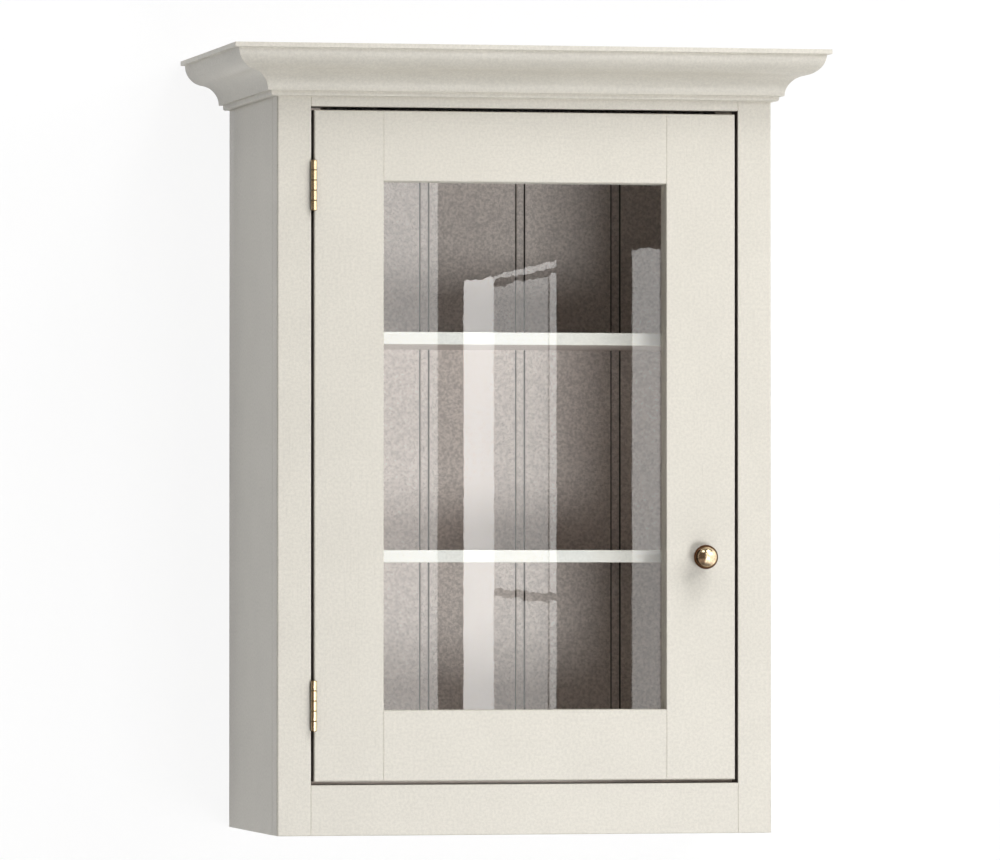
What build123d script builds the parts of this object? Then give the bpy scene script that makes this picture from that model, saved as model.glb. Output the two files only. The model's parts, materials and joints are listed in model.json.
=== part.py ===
"""Wall-hung painted cabinet with one glazed, inset, framed door on two butt hinges.

Units are millimetres. X runs along the front, -Y points out of the wall into the room and Z is up.
The origin is the middle of the cabinet's bottom edge on the wall.
"""

import os
from math import atan2, degrees, radians, sin, sqrt

from build123d import *

os.makedirs("parts", exist_ok=True)

# ---------------------------------------------------------------- driving dimensions

# Carcass
body_width = 600.0
body_depth = 330.0
body_height = 900.0
panel_thickness = 18.0
housing_depth = 6.0
wall_corner_radius = 3.0

# Tongue-and-groove back
board_count = 5
board_thickness = 12.0
board_pitch = 120.0
back_rebate_width = 9.0
back_rebate_clearance = 0.3
bead_spacing = 11.2
quirk_width = 1.6
quirk_depth = 2.0
tongue_thickness = 4.0
tongue_length = 6.0
tongue_clearance = 0.5
nail_head_radius = 1.6
nail_head_height = 1.0
nail_radius = 0.8
nail_length = 28.0
nail_edge_distance = 30.0

# Hanging rails and the wall screws that go through them
hanging_rail_thickness = 18.0
top_hanging_rail_height = 70.0
wall_screws_per_rail = 2
wall_screw_spacing = 440.0
wall_screw_hole_radius = 2.75

# Face frame
frame_thickness = 32.0
frame_stile_width = 41.0
frame_bottom_rail_height = 60.0
frame_top_rail_height = 38.0
frame_arris_radius = 2.5
dowel_radius = 4.0
dowel_length = 30.0
dowel_clearance = 0.05
dowels_per_stile = 4
dowel_end_distance = 90.0

# Mortise-and-tenon joints of the face frame and of the door
tenon_thickness = 10.0
tenon_shoulder = 8.0
tenon_length = 25.0
mortise_end_clearance = 1.0

# Cornice: projection is measured out of the body, height up from the cornice's bottom edge
cornice_reveal = 12.0
bead_height = 6.0
bead_projection = 8.0
bead_radius = 2.5
cyma_height = 48.0
cyma_foot_projection = 13.4
cyma_head_projection = 55.2
ovolo_radius = 24.5
top_fillet_height = 5.6
cornice_projection = 60.6
glue_block_side = 24.0
glue_block_length = 50.0
front_block_count = 3
front_block_spacing = 190.0
side_block_count = 2
side_block_spacing = 130.0

# Shelves
shelf_thickness = 15.0
shelf_depth = 245.0
shelf_side_clearance = 1.0
lower_shelf_bottom = 322.6
upper_shelf_bottom = 583.0
shelf_pin_radius = 2.5
shelf_pin_length = 18.0
shelf_pin_hole_depth = 9.0
shelf_pin_setback = 40.0
shelf_pin_clearance = 0.05

# Door
door_side_gap = 3.4
door_end_gap = 4.0
door_member_width = 84.0
door_tenon_shoulder = 15.0
glass_setback = 16.0
glass_thickness = 4.0
glass_edge_cover = 8.0
glass_edge_clearance = 2.0
glazing_bead_chamfer = 4.0
glazing_pin_radius = 0.6
glazing_pin_length = 20.0
glazing_pin_spacing = 175.0
side_bead_pin_count = 4
rail_bead_pin_count = 2

# Butt hinges
hinge_length = 60.0
hinge_end_distance = 59.5
knuckle_radius = 3.6
knuckle_count = 5
knuckle_end_play = 0.2
knuckle_clearance = 0.3
hinge_leaf_thickness = 2.0
hinge_leaf_width = 18.0
hinge_pin_radius = 1.5
hinge_pin_clearance = 0.05
hinge_screw_count = 3
hinge_screw_spacing = 21.0
hinge_screw_stagger = 3.0
hinge_screw_head_radius = 3.2
hinge_screw_radius = 1.4
hinge_screw_length = 16.0

# Ball knob
knob_radius = 14.4
knob_centre_height = 18.0
knob_neck_radius = 5.0
knob_foot_radius = 8.0
knob_foot_height = 2.0
knob_edge_distance = 40.0
knob_height = 329.3
knob_screw_radius = 2.0
knob_screw_bite = 10.0
knob_bore_spare = 2.0
knob_screw_clearance = 0.05
knob_screw_head_radius = 4.0
knob_screw_head_height = 2.6
knob_screw_hole_radius = 2.4

# Door stop and magnetic catch
stop_overlap = 22.0
stop_thickness = 18.0
stop_end_gap = 20.0
stop_screw_count = 3
stop_screw_spacing = 150.0
stop_screw_head_radius = 3.6
stop_screw_radius = 1.7
stop_screw_length = 34.0
magnet_radius = 6.0
magnet_thickness = 5.0
magnet_clearance = 0.05
magnet_edge_distance = 45.0
keeper_length = 34.0
keeper_height = 15.0
keeper_thickness = 0.8
catch_gap = 0.2
keeper_screw_count = 2
keeper_screw_spacing = 24.0
keeper_screw_head_radius = 2.0
keeper_screw_radius = 1.2
keeper_screw_length = 10.0
screw_clearance = 0.05
slot_width = 0.8
slot_depth = 0.5

# ---------------------------------------------------------------- derived planes and spans

half_width = body_width / 2
front = -body_depth
frame_back = front + frame_thickness
inner_half = half_width - panel_thickness
back_face = -board_thickness
opening_half = half_width - frame_stile_width
opening_bottom = frame_bottom_rail_height
opening_top = body_height - frame_top_rail_height
floor_top = frame_bottom_rail_height
floor_bottom = floor_top - panel_thickness
ceiling = body_height - panel_thickness

door_half = opening_half - door_side_gap
door_bottom = opening_bottom + door_end_gap
door_top = opening_top - door_end_gap
door_thickness = frame_thickness - keeper_thickness - catch_gap
door_back = front + door_thickness
sight_half = door_half - door_member_width
sight_bottom = door_bottom + door_member_width
sight_top = door_top - door_member_width
glass_front = front + glass_setback
glass_back = glass_front + glass_thickness
rebate_width = glass_edge_cover + glass_edge_clearance

# The two leaves lie face to face in the gap at the door's hinge edge. The frame's leaf lies on the
# frame, the door's leaf is let into the door, and the pin stands clear of the front faces.
leaf_gap = door_side_gap - hinge_leaf_thickness
pin_x = -opening_half + hinge_leaf_thickness + leaf_gap / 2
pin_y = front - knuckle_radius - knuckle_clearance
knuckle_length = hinge_length / knuckle_count
hinge_bottoms = {
    "lower": door_bottom + hinge_end_distance,
    "upper": door_top - hinge_end_distance - hinge_length,
}

# ---------------------------------------------------------------- shared helpers

# A cylinder stands on its location's plane or hangs below it.
from_base = (Align.CENTER, Align.CENTER, Align.MIN)
below_base = (Align.CENTER, Align.CENTER, Align.MAX)


def block(x_span, y_span, z_span, mode=Mode.ADD):
    """A rectangular block between two X values, two Y values and two Z values."""
    spans = (x_span, y_span, z_span)
    with Locations(tuple((low + high) / 2 for low, high in spans)):
        Box(*(high - low for low, high in spans), mode=mode)


def evenly(count, spacing):
    """Centred positions of a row of equal steps."""
    return [(index - (count - 1) / 2) * spacing for index in range(count)]


def spread(low, high, count):
    """Positions from low to high in equal steps."""
    return [low + (high - low) * index / (count - 1) for index in range(count)]


def csk_screw(head_radius, shank_radius, length):
    """A slotted screw with a 90 degree countersunk head, head up at the origin, shank along -Z."""
    point_length = 2 * shank_radius
    with BuildPart() as screw:
        with BuildSketch(Plane.XZ):
            with BuildLine():
                Polyline(
                    (0, 0),
                    (head_radius, 0),
                    (shank_radius, shank_radius - head_radius),
                    (shank_radius, point_length - length),
                    (0, -length),
                    close=True,
                )
            make_face()
        revolve(axis=Axis.Z)
        reach = 2 * head_radius
        block((-reach, reach), (-slot_width / 2, slot_width / 2), (-slot_depth, slot_depth), Mode.SUBTRACT)
    return screw.part


def csk_hole(head_radius, shank_radius):
    """A through hole and a 90 degree countersink that clear such a screw."""
    CounterSinkHole(shank_radius + screw_clearance, head_radius + screw_clearance, counter_sink_angle=90)


# ---------------------------------------------------------------- carcass

shelf_bottoms = {"lower": lower_shelf_bottom, "upper": upper_shelf_bottom}
shelf_front = back_face - shelf_depth
pin_rows = (back_face - shelf_pin_setback, shelf_front + shelf_pin_setback)
pin_heights = [bottom - shelf_pin_radius - shelf_pin_clearance for bottom in shelf_bottoms.values()]
shelf_pin_places = [(y, z) for y in pin_rows for z in pin_heights]
dowel_heights = spread(dowel_end_distance, body_height - dowel_end_distance, dowels_per_stile)
dowel_x = half_width - panel_thickness / 2

for side, sign in (("left", -1), ("right", 1)):
    inside = sign * inner_half
    with BuildPart() as side_panel:
        with BuildSketch(Plane.YZ.offset(min(sign * half_width, inside))) as outline:
            with Locations((frame_back / 2, body_height / 2)):
                Rectangle(-frame_back, body_height)
            fillet(outline.vertices().group_by(Axis.Y)[0].sort_by(Axis.X)[-1], wall_corner_radius)
        extrude(amount=panel_thickness)
        rebate = sorted((inside, inside + sign * back_rebate_width))
        block(rebate, (back_face, 0), (0, body_height), Mode.SUBTRACT)
        housing = sorted((inside, inside + sign * housing_depth))
        block(housing, (frame_back, back_face), (floor_bottom, floor_top), Mode.SUBTRACT)
        block(housing, (frame_back, back_face), (ceiling, body_height), Mode.SUBTRACT)
        with Locations(*(Plane((inside, y, z), z_dir=(-sign, 0, 0)) for y, z in shelf_pin_places)):
            Hole(shelf_pin_radius + shelf_pin_clearance, shelf_pin_hole_depth)
        with Locations(*(Plane((sign * dowel_x, frame_back, z), z_dir=(0, -1, 0)) for z in dowel_heights)):
            Hole(dowel_radius + dowel_clearance, dowel_length / 2)
    side_panel.part.label = f"side_panel_{side}"
    export_step(side_panel.part, f"parts/side_panel_{side}.step")

nail_heights = (floor_top - panel_thickness / 2, body_height - panel_thickness / 2)
back_joints = [x - bead_spacing / 2 for x in evenly(board_count - 1, board_pitch)]
back_half = inner_half + back_rebate_width - back_rebate_clearance
board_edges = [-back_half, *back_joints, back_half]
nail_columns = [
    x
    for low, high in zip(board_edges, board_edges[1:])
    for x in (low + nail_edge_distance, high - nail_edge_distance)
]
housed_half = inner_half + housing_depth

for name, low in (("bottom_panel", floor_bottom), ("top_panel", ceiling)):
    with BuildPart() as panel:
        block((-housed_half, housed_half), (frame_back, back_face), (low, low + panel_thickness))
        nail_holes = [Plane((x, back_face, low + panel_thickness / 2), z_dir=(0, 1, 0)) for x in nail_columns]
        with Locations(*nail_holes):
            Hole(nail_radius + screw_clearance, nail_length - board_thickness)
    panel.part.label = name
    export_step(panel.part, f"parts/{name}.step")

hanging_rails = {
    "bottom": (0, floor_bottom),
    "top": (ceiling - top_hanging_rail_height, ceiling),
}
wall_screw_heights = [(low + high) / 2 for low, high in hanging_rails.values()]
wall_screws = [
    Plane((x, 0, z), z_dir=(0, 1, 0))
    for x in evenly(wall_screws_per_rail, wall_screw_spacing)
    for z in wall_screw_heights
]

for place, height in hanging_rails.items():
    with BuildPart() as hanging_rail:
        block((-inner_half, inner_half), (back_face - hanging_rail_thickness, back_face), height)
        with Locations(*wall_screws):
            Hole(wall_screw_hole_radius)
    hanging_rail.part.label = f"hanging_rail_{place}"
    export_step(hanging_rail.part, f"parts/hanging_rail_{place}.step")

# ---------------------------------------------------------------- tongue-and-groove back

tongue_y = (-(board_thickness + tongue_thickness) / 2, -(board_thickness - tongue_thickness) / 2)
quirk_y = (back_face, back_face + quirk_depth)

for number, (low, high) in enumerate(zip(board_edges, board_edges[1:]), start=1):
    joined_left = low > -back_half
    joined_right = high < back_half
    full = (0, body_height)
    with BuildPart() as board:
        block((low, high), (back_face, 0), full)
        if joined_left:
            block((low, low + tongue_length + tongue_clearance), tongue_y, full, Mode.SUBTRACT)
            block((low, low + quirk_width / 2), quirk_y, full, Mode.SUBTRACT)
            bead_edge = low + bead_spacing
            block((bead_edge - quirk_width / 2, bead_edge + quirk_width / 2), quirk_y, full, Mode.SUBTRACT)
        if joined_right:
            block((high - quirk_width / 2, high), quirk_y, full, Mode.SUBTRACT)
            block((high, high + tongue_length), tongue_y, full)
        with Locations(*wall_screws):
            Hole(wall_screw_hole_radius)
        with Locations(*(Plane((x, 0, z), z_dir=(0, 1, 0)) for x in nail_columns for z in nail_heights)):
            Hole(nail_radius + screw_clearance)
            Hole(nail_head_radius + screw_clearance, nail_head_height)
    board.part.label = f"back_board_{number}"
    export_step(board.part, f"parts/back_board_{number}.step")

with BuildPart() as back_board_pins:
    with Locations(*(Plane((x, 0, z), z_dir=(0, -1, 0)) for x in nail_columns for z in nail_heights)):
        Cylinder(nail_radius, nail_length, align=from_base)
        Cylinder(nail_head_radius, nail_head_height, align=from_base)
back_board_pins.part.label = "back_board_pins"
export_step(back_board_pins.part, "parts/back_board_pins.step")

# ---------------------------------------------------------------- face frame

frame_rails = {
    "bottom": (0, frame_bottom_rail_height),
    "top": (opening_top, body_height),
}
tenon_y = (front + (frame_thickness - tenon_thickness) / 2, front + (frame_thickness + tenon_thickness) / 2)
leaf_screw_planes = {}
for place, bottom in hinge_bottoms.items():
    staggers = [hinge_screw_stagger * (-1) ** index for index in range(hinge_screw_count)]
    leaf_screw_planes[place] = [
        (front + hinge_leaf_width / 2 + stagger, bottom + hinge_length / 2 + step)
        for stagger, step in zip(staggers, evenly(hinge_screw_count, hinge_screw_spacing))
    ]
frame_screw_planes = [
    Plane((-opening_half + hinge_leaf_thickness, y, z), z_dir=(1, 0, 0))
    for places in leaf_screw_planes.values()
    for y, z in places
]

for side, sign in (("left", -1), ("right", 1)):
    inside = sign * opening_half
    with BuildPart() as stile:
        with BuildSketch() as section:
            with Locations((sign * (half_width + opening_half) / 2, (front + frame_back) / 2)):
                Rectangle(frame_stile_width, frame_thickness)
            outer_corner = section.vertices().group_by(Axis.Y)[0].sort_by(Axis.X)[-1 if sign > 0 else 0]
            fillet(outer_corner, frame_arris_radius)
        extrude(amount=body_height)
        mortise = sorted((inside, inside + sign * (tenon_length + mortise_end_clearance)))
        for low, high in frame_rails.values():
            block(mortise, tenon_y, (low + tenon_shoulder, high - tenon_shoulder), Mode.SUBTRACT)
        with Locations(*(Plane((sign * dowel_x, frame_back, z), z_dir=(0, 1, 0)) for z in dowel_heights)):
            Hole(dowel_radius + dowel_clearance, dowel_length / 2)
        if side == "left":
            with Locations(*frame_screw_planes):
                Hole(hinge_screw_radius + screw_clearance, hinge_screw_length)
    stile.part.label = f"face_frame_stile_{side}"
    export_step(stile.part, f"parts/face_frame_stile_{side}.step")

stop_screw_height = (opening_top + ceiling) / 2
stop_screw_planes = [
    Plane((x, frame_back + stop_thickness, stop_screw_height), z_dir=(0, 1, 0))
    for x in evenly(stop_screw_count, stop_screw_spacing)
]

for place, (low, high) in frame_rails.items():
    with BuildPart() as rail:
        block((-opening_half, opening_half), (front, frame_back), (low, high))
        reach = opening_half + tenon_length
        block((-reach, reach), tenon_y, (low + tenon_shoulder, high - tenon_shoulder))
        if place == "top":
            with Locations(*stop_screw_planes):
                Hole(stop_screw_radius + screw_clearance, stop_screw_length)
    rail.part.label = f"face_frame_rail_{place}"
    export_step(rail.part, f"parts/face_frame_rail_{place}.step")

with BuildPart() as face_frame_dowels:
    with Locations(
        *(Plane((x, frame_back, z), z_dir=(0, 1, 0)) for x in (-dowel_x, dowel_x) for z in dowel_heights)
    ):
        Cylinder(dowel_radius, dowel_length)
face_frame_dowels.part.label = "face_frame_dowels"
export_step(face_frame_dowels.part, "parts/face_frame_dowels.step")

# ---------------------------------------------------------------- cornice

cornice_bottom = opening_top + cornice_reveal
cyma_foot = cornice_bottom + bead_height
cyma_head = cyma_foot + cyma_height
cornice_top = cyma_head + top_fillet_height
cyma_run = cyma_head_projection - cyma_foot_projection
# Two tangent arcs, both upright at their free ends, turn by the same angle and share the height.
cyma_turn = 2 * degrees(atan2(cyma_run, cyma_height))
cove_radius = cyma_height / sin(radians(cyma_turn)) - ovolo_radius


def cornice_section(plane):
    """The moulding's section on a plane whose local X is the projection and local Y is up."""
    with BuildSketch(plane) as section:
        with BuildLine():
            Line((0, cornice_bottom), (bead_projection - bead_radius, cornice_bottom))
            JernArc((bead_projection - bead_radius, cornice_bottom), (1, 0), bead_radius, 90)
            Polyline(
                (bead_projection, cornice_bottom + bead_radius),
                (bead_projection, cyma_foot),
                (cyma_foot_projection, cyma_foot),
            )
            cove = JernArc((cyma_foot_projection, cyma_foot), (0, 1), cove_radius, -cyma_turn)
            JernArc(cove @ 1, cove % 1, ovolo_radius, cyma_turn)
            Polyline(
                (cyma_head_projection, cyma_head),
                (cornice_projection, cyma_head),
                (cornice_projection, cornice_top),
                (0, cornice_top),
                (0, cornice_bottom),
            )
        make_face()
    return section.sketch


overall_half = half_width + cornice_projection
mitres = {
    sign: Plane((sign * half_width, front, 0), z_dir=(sign, 1, 0)) for sign in (-1, 1)
}

with BuildPart() as cornice_front:
    start = Plane((-overall_half, front, 0), x_dir=(0, -1, 0), z_dir=(-1, 0, 0))
    extrude(cornice_section(start), amount=-2 * overall_half)
    for mitre in mitres.values():
        split(bisect_by=mitre, keep=Keep.BOTTOM)
cornice_front.part.label = "cornice_front"
export_step(cornice_front.part, "parts/cornice_front.step")

for side, sign in (("left", -1), ("right", 1)):
    with BuildPart() as cornice_return:
        end = Plane((sign * half_width, 0, 0), x_dir=(sign, 0, 0), z_dir=(0, -sign, 0))
        extrude(cornice_section(end), amount=sign * (body_depth + cornice_projection))
        split(bisect_by=mitres[sign], keep=Keep.TOP)
    cornice_return.part.label = f"cornice_{side}"
    export_step(cornice_return.part, f"parts/cornice_{side}.step")

block_half = glue_block_length / 2
block_z = (body_height, body_height + glue_block_side)
side_block_centres = [frame_back / 2 + step for step in evenly(side_block_count, side_block_spacing)]
with BuildPart() as cornice_glue_blocks:
    for x in evenly(front_block_count, front_block_spacing):
        block((x - block_half, x + block_half), (front, front + glue_block_side), block_z)
    for y in side_block_centres:
        for sign in (-1, 1):
            block_x = sorted((sign * half_width, sign * (half_width - glue_block_side)))
            block(block_x, (y - block_half, y + block_half), block_z)
cornice_glue_blocks.part.label = "cornice_glue_blocks"
export_step(cornice_glue_blocks.part, "parts/cornice_glue_blocks.step")

# ---------------------------------------------------------------- shelves

shelf_half = inner_half - shelf_side_clearance
for place, bottom in shelf_bottoms.items():
    with BuildPart() as shelf:
        block((-shelf_half, shelf_half), (shelf_front, back_face), (bottom, bottom + shelf_thickness))
    shelf.part.label = f"shelf_{place}"
    export_step(shelf.part, f"parts/shelf_{place}.step")

pin_in_hole = shelf_pin_hole_depth - shelf_pin_clearance
with BuildPart() as shelf_pins:
    for sign in (-1, 1):
        hole_end = sign * (inner_half + pin_in_hole)
        with Locations(*(Plane((hole_end, y, z), z_dir=(-sign, 0, 0)) for y, z in shelf_pin_places)):
            Cylinder(shelf_pin_radius, shelf_pin_length, align=from_base)
shelf_pins.part.label = "shelf_pins"
export_step(shelf_pins.part, "parts/shelf_pins.step")

# ---------------------------------------------------------------- door

sight_z = (sight_bottom, sight_top)
rebate_y = (glass_front, door_back)
door_tenon_y = (front + (glass_setback - tenon_thickness) / 2, front + (glass_setback + tenon_thickness) / 2)
door_rails = {
    "bottom": (door_bottom, sight_bottom),
    "top": (sight_top, door_top),
}
door_screw_planes = [
    Plane((-door_half, y, z), z_dir=(-1, 0, 0)) for places in leaf_screw_planes.values() for y, z in places
]
# Each glazing pin's plane lies on a bead's face in the sight opening and looks at the glass's middle.
glazing_pin_y = (glass_back + door_back - glazing_bead_chamfer) / 2
sight_middle = (sight_bottom + sight_top) / 2
side_pin_planes = {
    sign: [
        Plane((sign * sight_half, glazing_pin_y, sight_middle + step), z_dir=(-sign, 0, 0))
        for step in evenly(side_bead_pin_count, glazing_pin_spacing)
    ]
    for sign in (-1, 1)
}
rail_pin_planes = {
    place: [
        Plane((step, glazing_pin_y, height), z_dir=(0, 0, sign))
        for step in evenly(rail_bead_pin_count, glazing_pin_spacing)
    ]
    for place, height, sign in (("bottom", sight_bottom, 1), ("top", sight_top, -1))
}
knob_x = door_half - knob_edge_distance
magnet_x = door_half - magnet_edge_distance
magnet_z = door_top - stop_overlap / 2
keeper_back = door_back + keeper_thickness
keeper_screw_planes = [
    Plane((magnet_x + step, keeper_back, magnet_z), z_dir=(0, 1, 0))
    for step in evenly(keeper_screw_count, keeper_screw_spacing)
]

for place, sign in (("hinge", -1), ("knob", 1)):
    inside = sign * sight_half
    with BuildPart() as door_stile:
        block(sorted((inside, sign * door_half)), (front, door_back), (door_bottom, door_top))
        glass_rebate = sorted((inside, inside + sign * rebate_width))
        block(glass_rebate, rebate_y, (sight_bottom - rebate_width, sight_top + rebate_width), Mode.SUBTRACT)
        mortise = sorted((inside, inside + sign * (tenon_length + mortise_end_clearance)))
        for low, high in door_rails.values():
            mortise_z = (low + door_tenon_shoulder, high - door_tenon_shoulder)
            block(mortise, door_tenon_y, mortise_z, Mode.SUBTRACT)
        with Locations(*side_pin_planes[sign]):
            Hole(glazing_pin_radius + screw_clearance, glazing_pin_length)
        if place == "hinge":
            for bottom in hinge_bottoms.values():
                let_in = (-door_half, hinge_leaf_thickness - door_half)
                leaf_y = (front, front + hinge_leaf_width)
                block(let_in, leaf_y, (bottom, bottom + hinge_length), Mode.SUBTRACT)
            with Locations(*door_screw_planes):
                Hole(hinge_screw_radius + screw_clearance, hinge_screw_length)
        else:
            with Locations(Plane((knob_x, front, knob_height), z_dir=(0, -1, 0))):
                Hole(knob_screw_hole_radius)
            with Locations(*keeper_screw_planes):
                Hole(keeper_screw_radius + screw_clearance, keeper_screw_length)
    door_stile.part.label = f"door_stile_{place}"
    export_step(door_stile.part, f"parts/door_stile_{place}.step")

for place, (low, high) in door_rails.items():
    sight_edge, outward = (sight_bottom, -1) if place == "bottom" else (sight_top, 1)
    with BuildPart() as door_rail:
        block((-sight_half, sight_half), (front, door_back), (low, high))
        reach = sight_half + tenon_length
        block((-reach, reach), door_tenon_y, (low + door_tenon_shoulder, high - door_tenon_shoulder))
        glass_rebate = sorted((sight_edge, sight_edge + outward * rebate_width))
        block((-sight_half, sight_half), rebate_y, glass_rebate, Mode.SUBTRACT)
        with Locations(*rail_pin_planes[place]):
            Hole(glazing_pin_radius + screw_clearance, glazing_pin_length)
    door_rail.part.label = f"door_rail_{place}"
    export_step(door_rail.part, f"parts/door_rail_{place}.step")

glass_x = (-sight_half - glass_edge_cover, sight_half + glass_edge_cover)
glass_z = (sight_bottom - glass_edge_cover, sight_top + glass_edge_cover)
with BuildPart() as glass_pane:
    block(glass_x, (glass_front, glass_back), glass_z)
glass_pane.part.label = "glass_pane"
export_step(glass_pane.part, "parts/glass_pane.step")

sight_half_height = (sight_top - sight_bottom) / 2
sight_centre = Vector(0, 0, sight_middle)
into_room = Vector(0, -1, 0)
for place, outward, sight_distance, reach, pin_planes in (
    ("top", Vector(0, 0, 1), sight_half_height, sight_half, rail_pin_planes["top"]),
    ("bottom", Vector(0, 0, -1), sight_half_height, sight_half, rail_pin_planes["bottom"]),
    ("left", Vector(-1, 0, 0), sight_half, sight_half_height, side_pin_planes[-1]),
    ("right", Vector(1, 0, 0), sight_half, sight_half_height, side_pin_planes[1]),
):
    run = outward.cross(into_room)
    with BuildPart() as glazing_bead:
        with BuildSketch(Plane(sight_centre, x_dir=outward, z_dir=run)) as section:
            with Locations((sight_distance + rebate_width / 2, -(glass_back + door_back) / 2)):
                Rectangle(rebate_width, door_back - glass_back)
            chamfer(section.vertices().group_by(Axis.Y)[0].sort_by(Axis.X)[0], glazing_bead_chamfer)
        extrude(amount=reach + rebate_width, both=True)
        for end in (-1, 1):
            corner = sight_centre + outward * sight_distance + run * (end * reach)
            split(bisect_by=Plane(corner, z_dir=run * end - outward), keep=Keep.BOTTOM)
        with Locations(*pin_planes):
            Hole(glazing_pin_radius + screw_clearance, glazing_pin_length)
    glazing_bead.part.label = f"glazing_bead_{place}"
    export_step(glazing_bead.part, f"parts/glazing_bead_{place}.step")

with BuildPart() as glazing_pins:
    for pin_planes in (*side_pin_planes.values(), *rail_pin_planes.values()):
        with Locations(*pin_planes):
            Cylinder(glazing_pin_radius, glazing_pin_length, align=below_base)
glazing_pins.part.label = "glazing_pins"
export_step(glazing_pins.part, "parts/glazing_pins.step")

# ---------------------------------------------------------------- butt hinges

leaf_y = (front, front + hinge_leaf_width)
leaves = {
    "frame": ((-opening_half, hinge_leaf_thickness - opening_half), 0, frame_screw_planes),
    "door": ((-door_half, hinge_leaf_thickness - door_half), 1, door_screw_planes),
}

for place, bottom in hinge_bottoms.items():
    knuckles = [
        (
            bottom + index * knuckle_length + knuckle_end_play / 2,
            bottom + (index + 1) * knuckle_length - knuckle_end_play / 2,
        )
        for index in range(knuckle_count)
    ]
    for owner, (leaf_x, first_knuckle, screw_planes) in leaves.items():
        with BuildPart() as leaf:
            block(leaf_x, leaf_y, (bottom, bottom + hinge_length))
            for low, high in knuckles[first_knuckle::2]:
                block(leaf_x, (pin_y, front), (low, high))
                with Locations((pin_x, pin_y, low)):
                    Cylinder(knuckle_radius, high - low, align=from_base)
            with Locations((pin_x, pin_y, bottom + hinge_length / 2)):
                bore_radius = hinge_pin_radius + hinge_pin_clearance
                Cylinder(bore_radius, 2 * hinge_length, mode=Mode.SUBTRACT)
            with Locations(*screw_planes):
                csk_hole(hinge_screw_head_radius, hinge_screw_radius)
        leaf.part.label = f"hinge_{place}_{owner}_leaf"
        export_step(leaf.part, f"parts/hinge_{place}_{owner}_leaf.step")
    with BuildPart() as hinge_pin:
        with Locations((pin_x, pin_y, bottom + hinge_length / 2)):
            Cylinder(hinge_pin_radius, hinge_length)
    hinge_pin.part.label = f"hinge_{place}_pin"
    export_step(hinge_pin.part, f"parts/hinge_{place}_pin.step")

hinge_screw = csk_screw(hinge_screw_head_radius, hinge_screw_radius, hinge_screw_length)
for owner, screw_planes in (("frame", frame_screw_planes), ("door", door_screw_planes)):
    with BuildPart() as hinge_screws:
        with Locations(*screw_planes):
            add(hinge_screw)
    hinge_screws.part.label = f"hinge_{owner}_screws"
    export_step(hinge_screws.part, f"parts/hinge_{owner}_screws.step")

# ---------------------------------------------------------------- ball knob

neck_top = knob_centre_height - sqrt(knob_radius**2 - knob_neck_radius**2)
knob_plane = Plane((knob_x, front, knob_height), x_dir=(1, 0, 0), z_dir=(0, 0, -1))
with BuildPart() as knob:
    with BuildSketch(knob_plane):
        with BuildLine():
            Polyline(
                (0, knob_centre_height + knob_radius),
                (0, 0),
                (knob_foot_radius, 0),
                (knob_foot_radius, knob_foot_height),
                (knob_neck_radius, knob_foot_height),
                (knob_neck_radius, neck_top),
            )
            ThreePointArc(
                (knob_neck_radius, neck_top),
                (knob_radius, knob_centre_height),
                (0, knob_centre_height + knob_radius),
            )
        make_face()
    revolve(axis=Axis((knob_x, front, knob_height), (0, -1, 0)))
    with Locations(Plane((knob_x, front, knob_height), z_dir=(0, 1, 0))):
        Hole(knob_screw_radius + knob_screw_clearance, knob_screw_bite + knob_bore_spare)
knob.part.label = "knob"
export_step(knob.part, "parts/knob.step")

with BuildPart() as knob_screw:
    with Locations(Plane((knob_x, door_back, knob_height), z_dir=(0, 1, 0))):
        Cylinder(knob_screw_head_radius, knob_screw_head_height, align=from_base)
        Cylinder(knob_screw_radius, door_thickness + knob_screw_bite, align=below_base)
    head_top = door_back + knob_screw_head_height
    slot_x = (knob_x - knob_screw_head_radius, knob_x + knob_screw_head_radius)
    slot_z = (knob_height - slot_width / 2, knob_height + slot_width / 2)
    block(slot_x, (head_top - slot_depth, head_top), slot_z, Mode.SUBTRACT)
knob_screw.part.label = "knob_screw"
export_step(knob_screw.part, "parts/knob_screw.step")

# ---------------------------------------------------------------- door stop and magnetic catch

stop_half = opening_half - stop_end_gap
magnet_plane = Plane((magnet_x, frame_back, magnet_z), z_dir=(0, -1, 0))
with BuildPart() as door_stop:
    stop_z = (door_top - stop_overlap, ceiling)
    block((-stop_half, stop_half), (frame_back, frame_back + stop_thickness), stop_z)
    with Locations(magnet_plane):
        Hole(magnet_radius + magnet_clearance, magnet_thickness)
    with Locations(*stop_screw_planes):
        csk_hole(stop_screw_head_radius, stop_screw_radius)
door_stop.part.label = "door_stop"
export_step(door_stop.part, "parts/door_stop.step")

with BuildPart() as door_stop_screws:
    with Locations(*stop_screw_planes):
        add(csk_screw(stop_screw_head_radius, stop_screw_radius, stop_screw_length))
door_stop_screws.part.label = "door_stop_screws"
export_step(door_stop_screws.part, "parts/door_stop_screws.step")

with BuildPart() as catch_magnet:
    with Locations(magnet_plane):
        Cylinder(magnet_radius, magnet_thickness, align=below_base)
catch_magnet.part.label = "catch_magnet"
export_step(catch_magnet.part, "parts/catch_magnet.step")

with BuildPart() as keeper_plate:
    keeper_x = (magnet_x - keeper_length / 2, magnet_x + keeper_length / 2)
    keeper_z = (magnet_z - keeper_height / 2, magnet_z + keeper_height / 2)
    block(keeper_x, (door_back, keeper_back), keeper_z)
    with Locations(*keeper_screw_planes):
        csk_hole(keeper_screw_head_radius, keeper_screw_radius)
keeper_plate.part.label = "keeper_plate"
export_step(keeper_plate.part, "parts/keeper_plate.step")

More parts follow.
